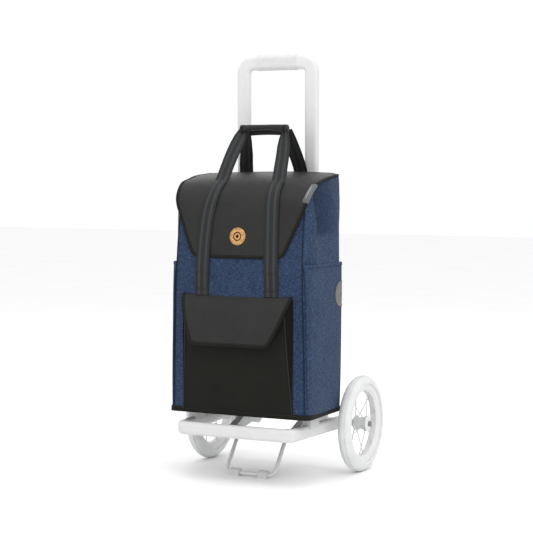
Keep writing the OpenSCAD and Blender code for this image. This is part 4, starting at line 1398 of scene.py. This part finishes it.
def build_reflector(s, side, rows):
    """Reflective patch, round at the front and straight at the back, with a bound edge."""
    low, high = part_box(f"reflector_{side}")
    cz, r = (low[2] + high[2]) / 2, (high[2] - low[2]) / 2
    cy, flat_y = low[1] + r, high[1]

    def face_x(y, z):
        """How far out the side pocket's face is at (y, z)."""
        low_z, high_z = rows[0][0][2], rows[-1][0][2]
        i = int(np.clip((z - low_z) / (high_z - low_z) * (len(rows) - 1), 0, len(rows) - 1))
        return float(np.interp(y, rows[i][:, 1], np.abs(rows[i][:, 0])))

    turn = np.linspace(90, 270, 41)
    outline = [(cy + r * math.cos(a), cz + r * math.sin(a)) for a in np.radians(turn)]
    outline += [(y, cz - r) for y in np.linspace(cy, flat_y, 9)[1:]]
    outline += [(flat_y, z) for z in np.linspace(cz - r, cz + r, 17)[1:]]
    outline += [(y, cz + r) for y in np.linspace(flat_y, cy, 9)[1:-1]]
    outline = np.array(outline)
    centre = np.array([(low[1] + flat_y) / 2, cz])
    grid = []
    for f in (0.02, 0.3, 0.6, 0.85, 1.0):
        ring = centre + (outline - centre) * f
        grid.append([(s * (face_x(y, z) + 0.0006), y, z) for y, z in ring])
    grid = np.array(grid)
    patch = grid_object(f"reflector_{side}_patch", grid, wrap=True)
    fix_towards(patch, (s, 0, 0))
    solidify(patch, 0.0006, 1)
    finish_piece(patch, "reflective", "bag", [f"reflector_{side}"])
    edge = resample(np.vstack([outline, outline[:1]]), 0.003)
    path = np.array([(s * (face_x(y, z) + 0.0012), y, z) for y, z in edge[:-1]])
    tape = sweep(f"reflector_{side}_edge", path, [(s, 0, 0)] * len(path),
                 oval_profile(0.0032, 0.0014, 10), closed=True)
    finish_piece(tape, "reflective_edge", "bag")


# ---------------------------------------------------------------- stage

def look_from(place, azimuth, pitch, lens):
    """The camera, at place, looking along azimuth and pitch in degrees."""
    camera = bpy.data.objects.new("camera", bpy.data.cameras.new("camera"))
    bpy.context.scene.collection.objects.link(camera)
    camera.location = place
    camera.rotation_euler = (math.radians(90 + pitch), 0, math.radians(azimuth))
    camera.data.lens = lens
    camera.data.sensor_width = 36
    camera.data.clip_end = 60
    bpy.context.scene.camera = camera


def area_light(name, place, aim, size, power):
    """A soft white light at place, aimed at a point."""
    light = bpy.data.objects.new(name, bpy.data.lights.new(name, "AREA"))
    bpy.context.scene.collection.objects.link(light)
    light.data.shape = "RECTANGLE"
    light.data.size, light.data.size_y = size
    light.data.energy = power
    light.location = place
    light.rotation_euler = (Vector(aim) - Vector(place)).to_track_quat("-Z", "Y").to_euler()


def build_stage():
    """Plain white floor and surroundings, four soft lights and the camera."""
    scene = bpy.context.scene
    scene.view_settings.view_transform = "Standard"
    scene.view_settings.look = "None"
    world = bpy.data.worlds.new("studio")
    scene.world = world
    world.use_nodes = True
    back = world.node_tree.nodes["Background"]
    back.inputs[0].default_value = (1, 1, 1, 1)
    back.inputs[1].default_value = 1.0
    size = 14
    corners = [(-size, -size, 0), (size, -size, 0), (size, size, 0), (-size, size, 0)]
    floor = mesh_object("floor", corners, [(0, 1, 2, 3)], smooth=False)
    n = Nodes("floor_paint")
    cloud = n.noise(n.place(), 3.0, 3.0, 0.5)
    shade = n.ramp(cloud, [(0.2, (0.93, 0.93, 0.93)), (0.8, (0.96, 0.96, 0.96))])
    n.set(colour=shade, rough=0.85, specular=0.1)
    floor.data.materials.append(n.material)
    area_light("key", (2.6, -2.2, 3.0), (0, 0, 0.55), (2.2, 2.2), 42)
    area_light("front", (-2.4, -3.2, 1.6), (0, 0, 0.5), (2.0, 2.0), 8)
    area_light("top", (0.2, -0.4, 3.4), (0, 0, 0.6), (2.6, 2.0), 28)
    area_light("behind", (-1.5, 3.0, 2.4), (0, 0, 0.6), (3.0, 2.0), 14)
    look_from((1.796, -3.610, 0.781), 26.51, -3.53, 105.3)


# ---------------------------------------------------------------- make it all

build_stage()
dress_frame()
bag_points = build_bag()
flap_face, flap_normals = build_flap()
build_badge(flap_face, flap_normals)
build_tag(flap_face, flap_normals)
build_front_straps(bag_points)
build_rear_straps()
build_grip()
build_pocket()
build_cover()
build_side_pockets()
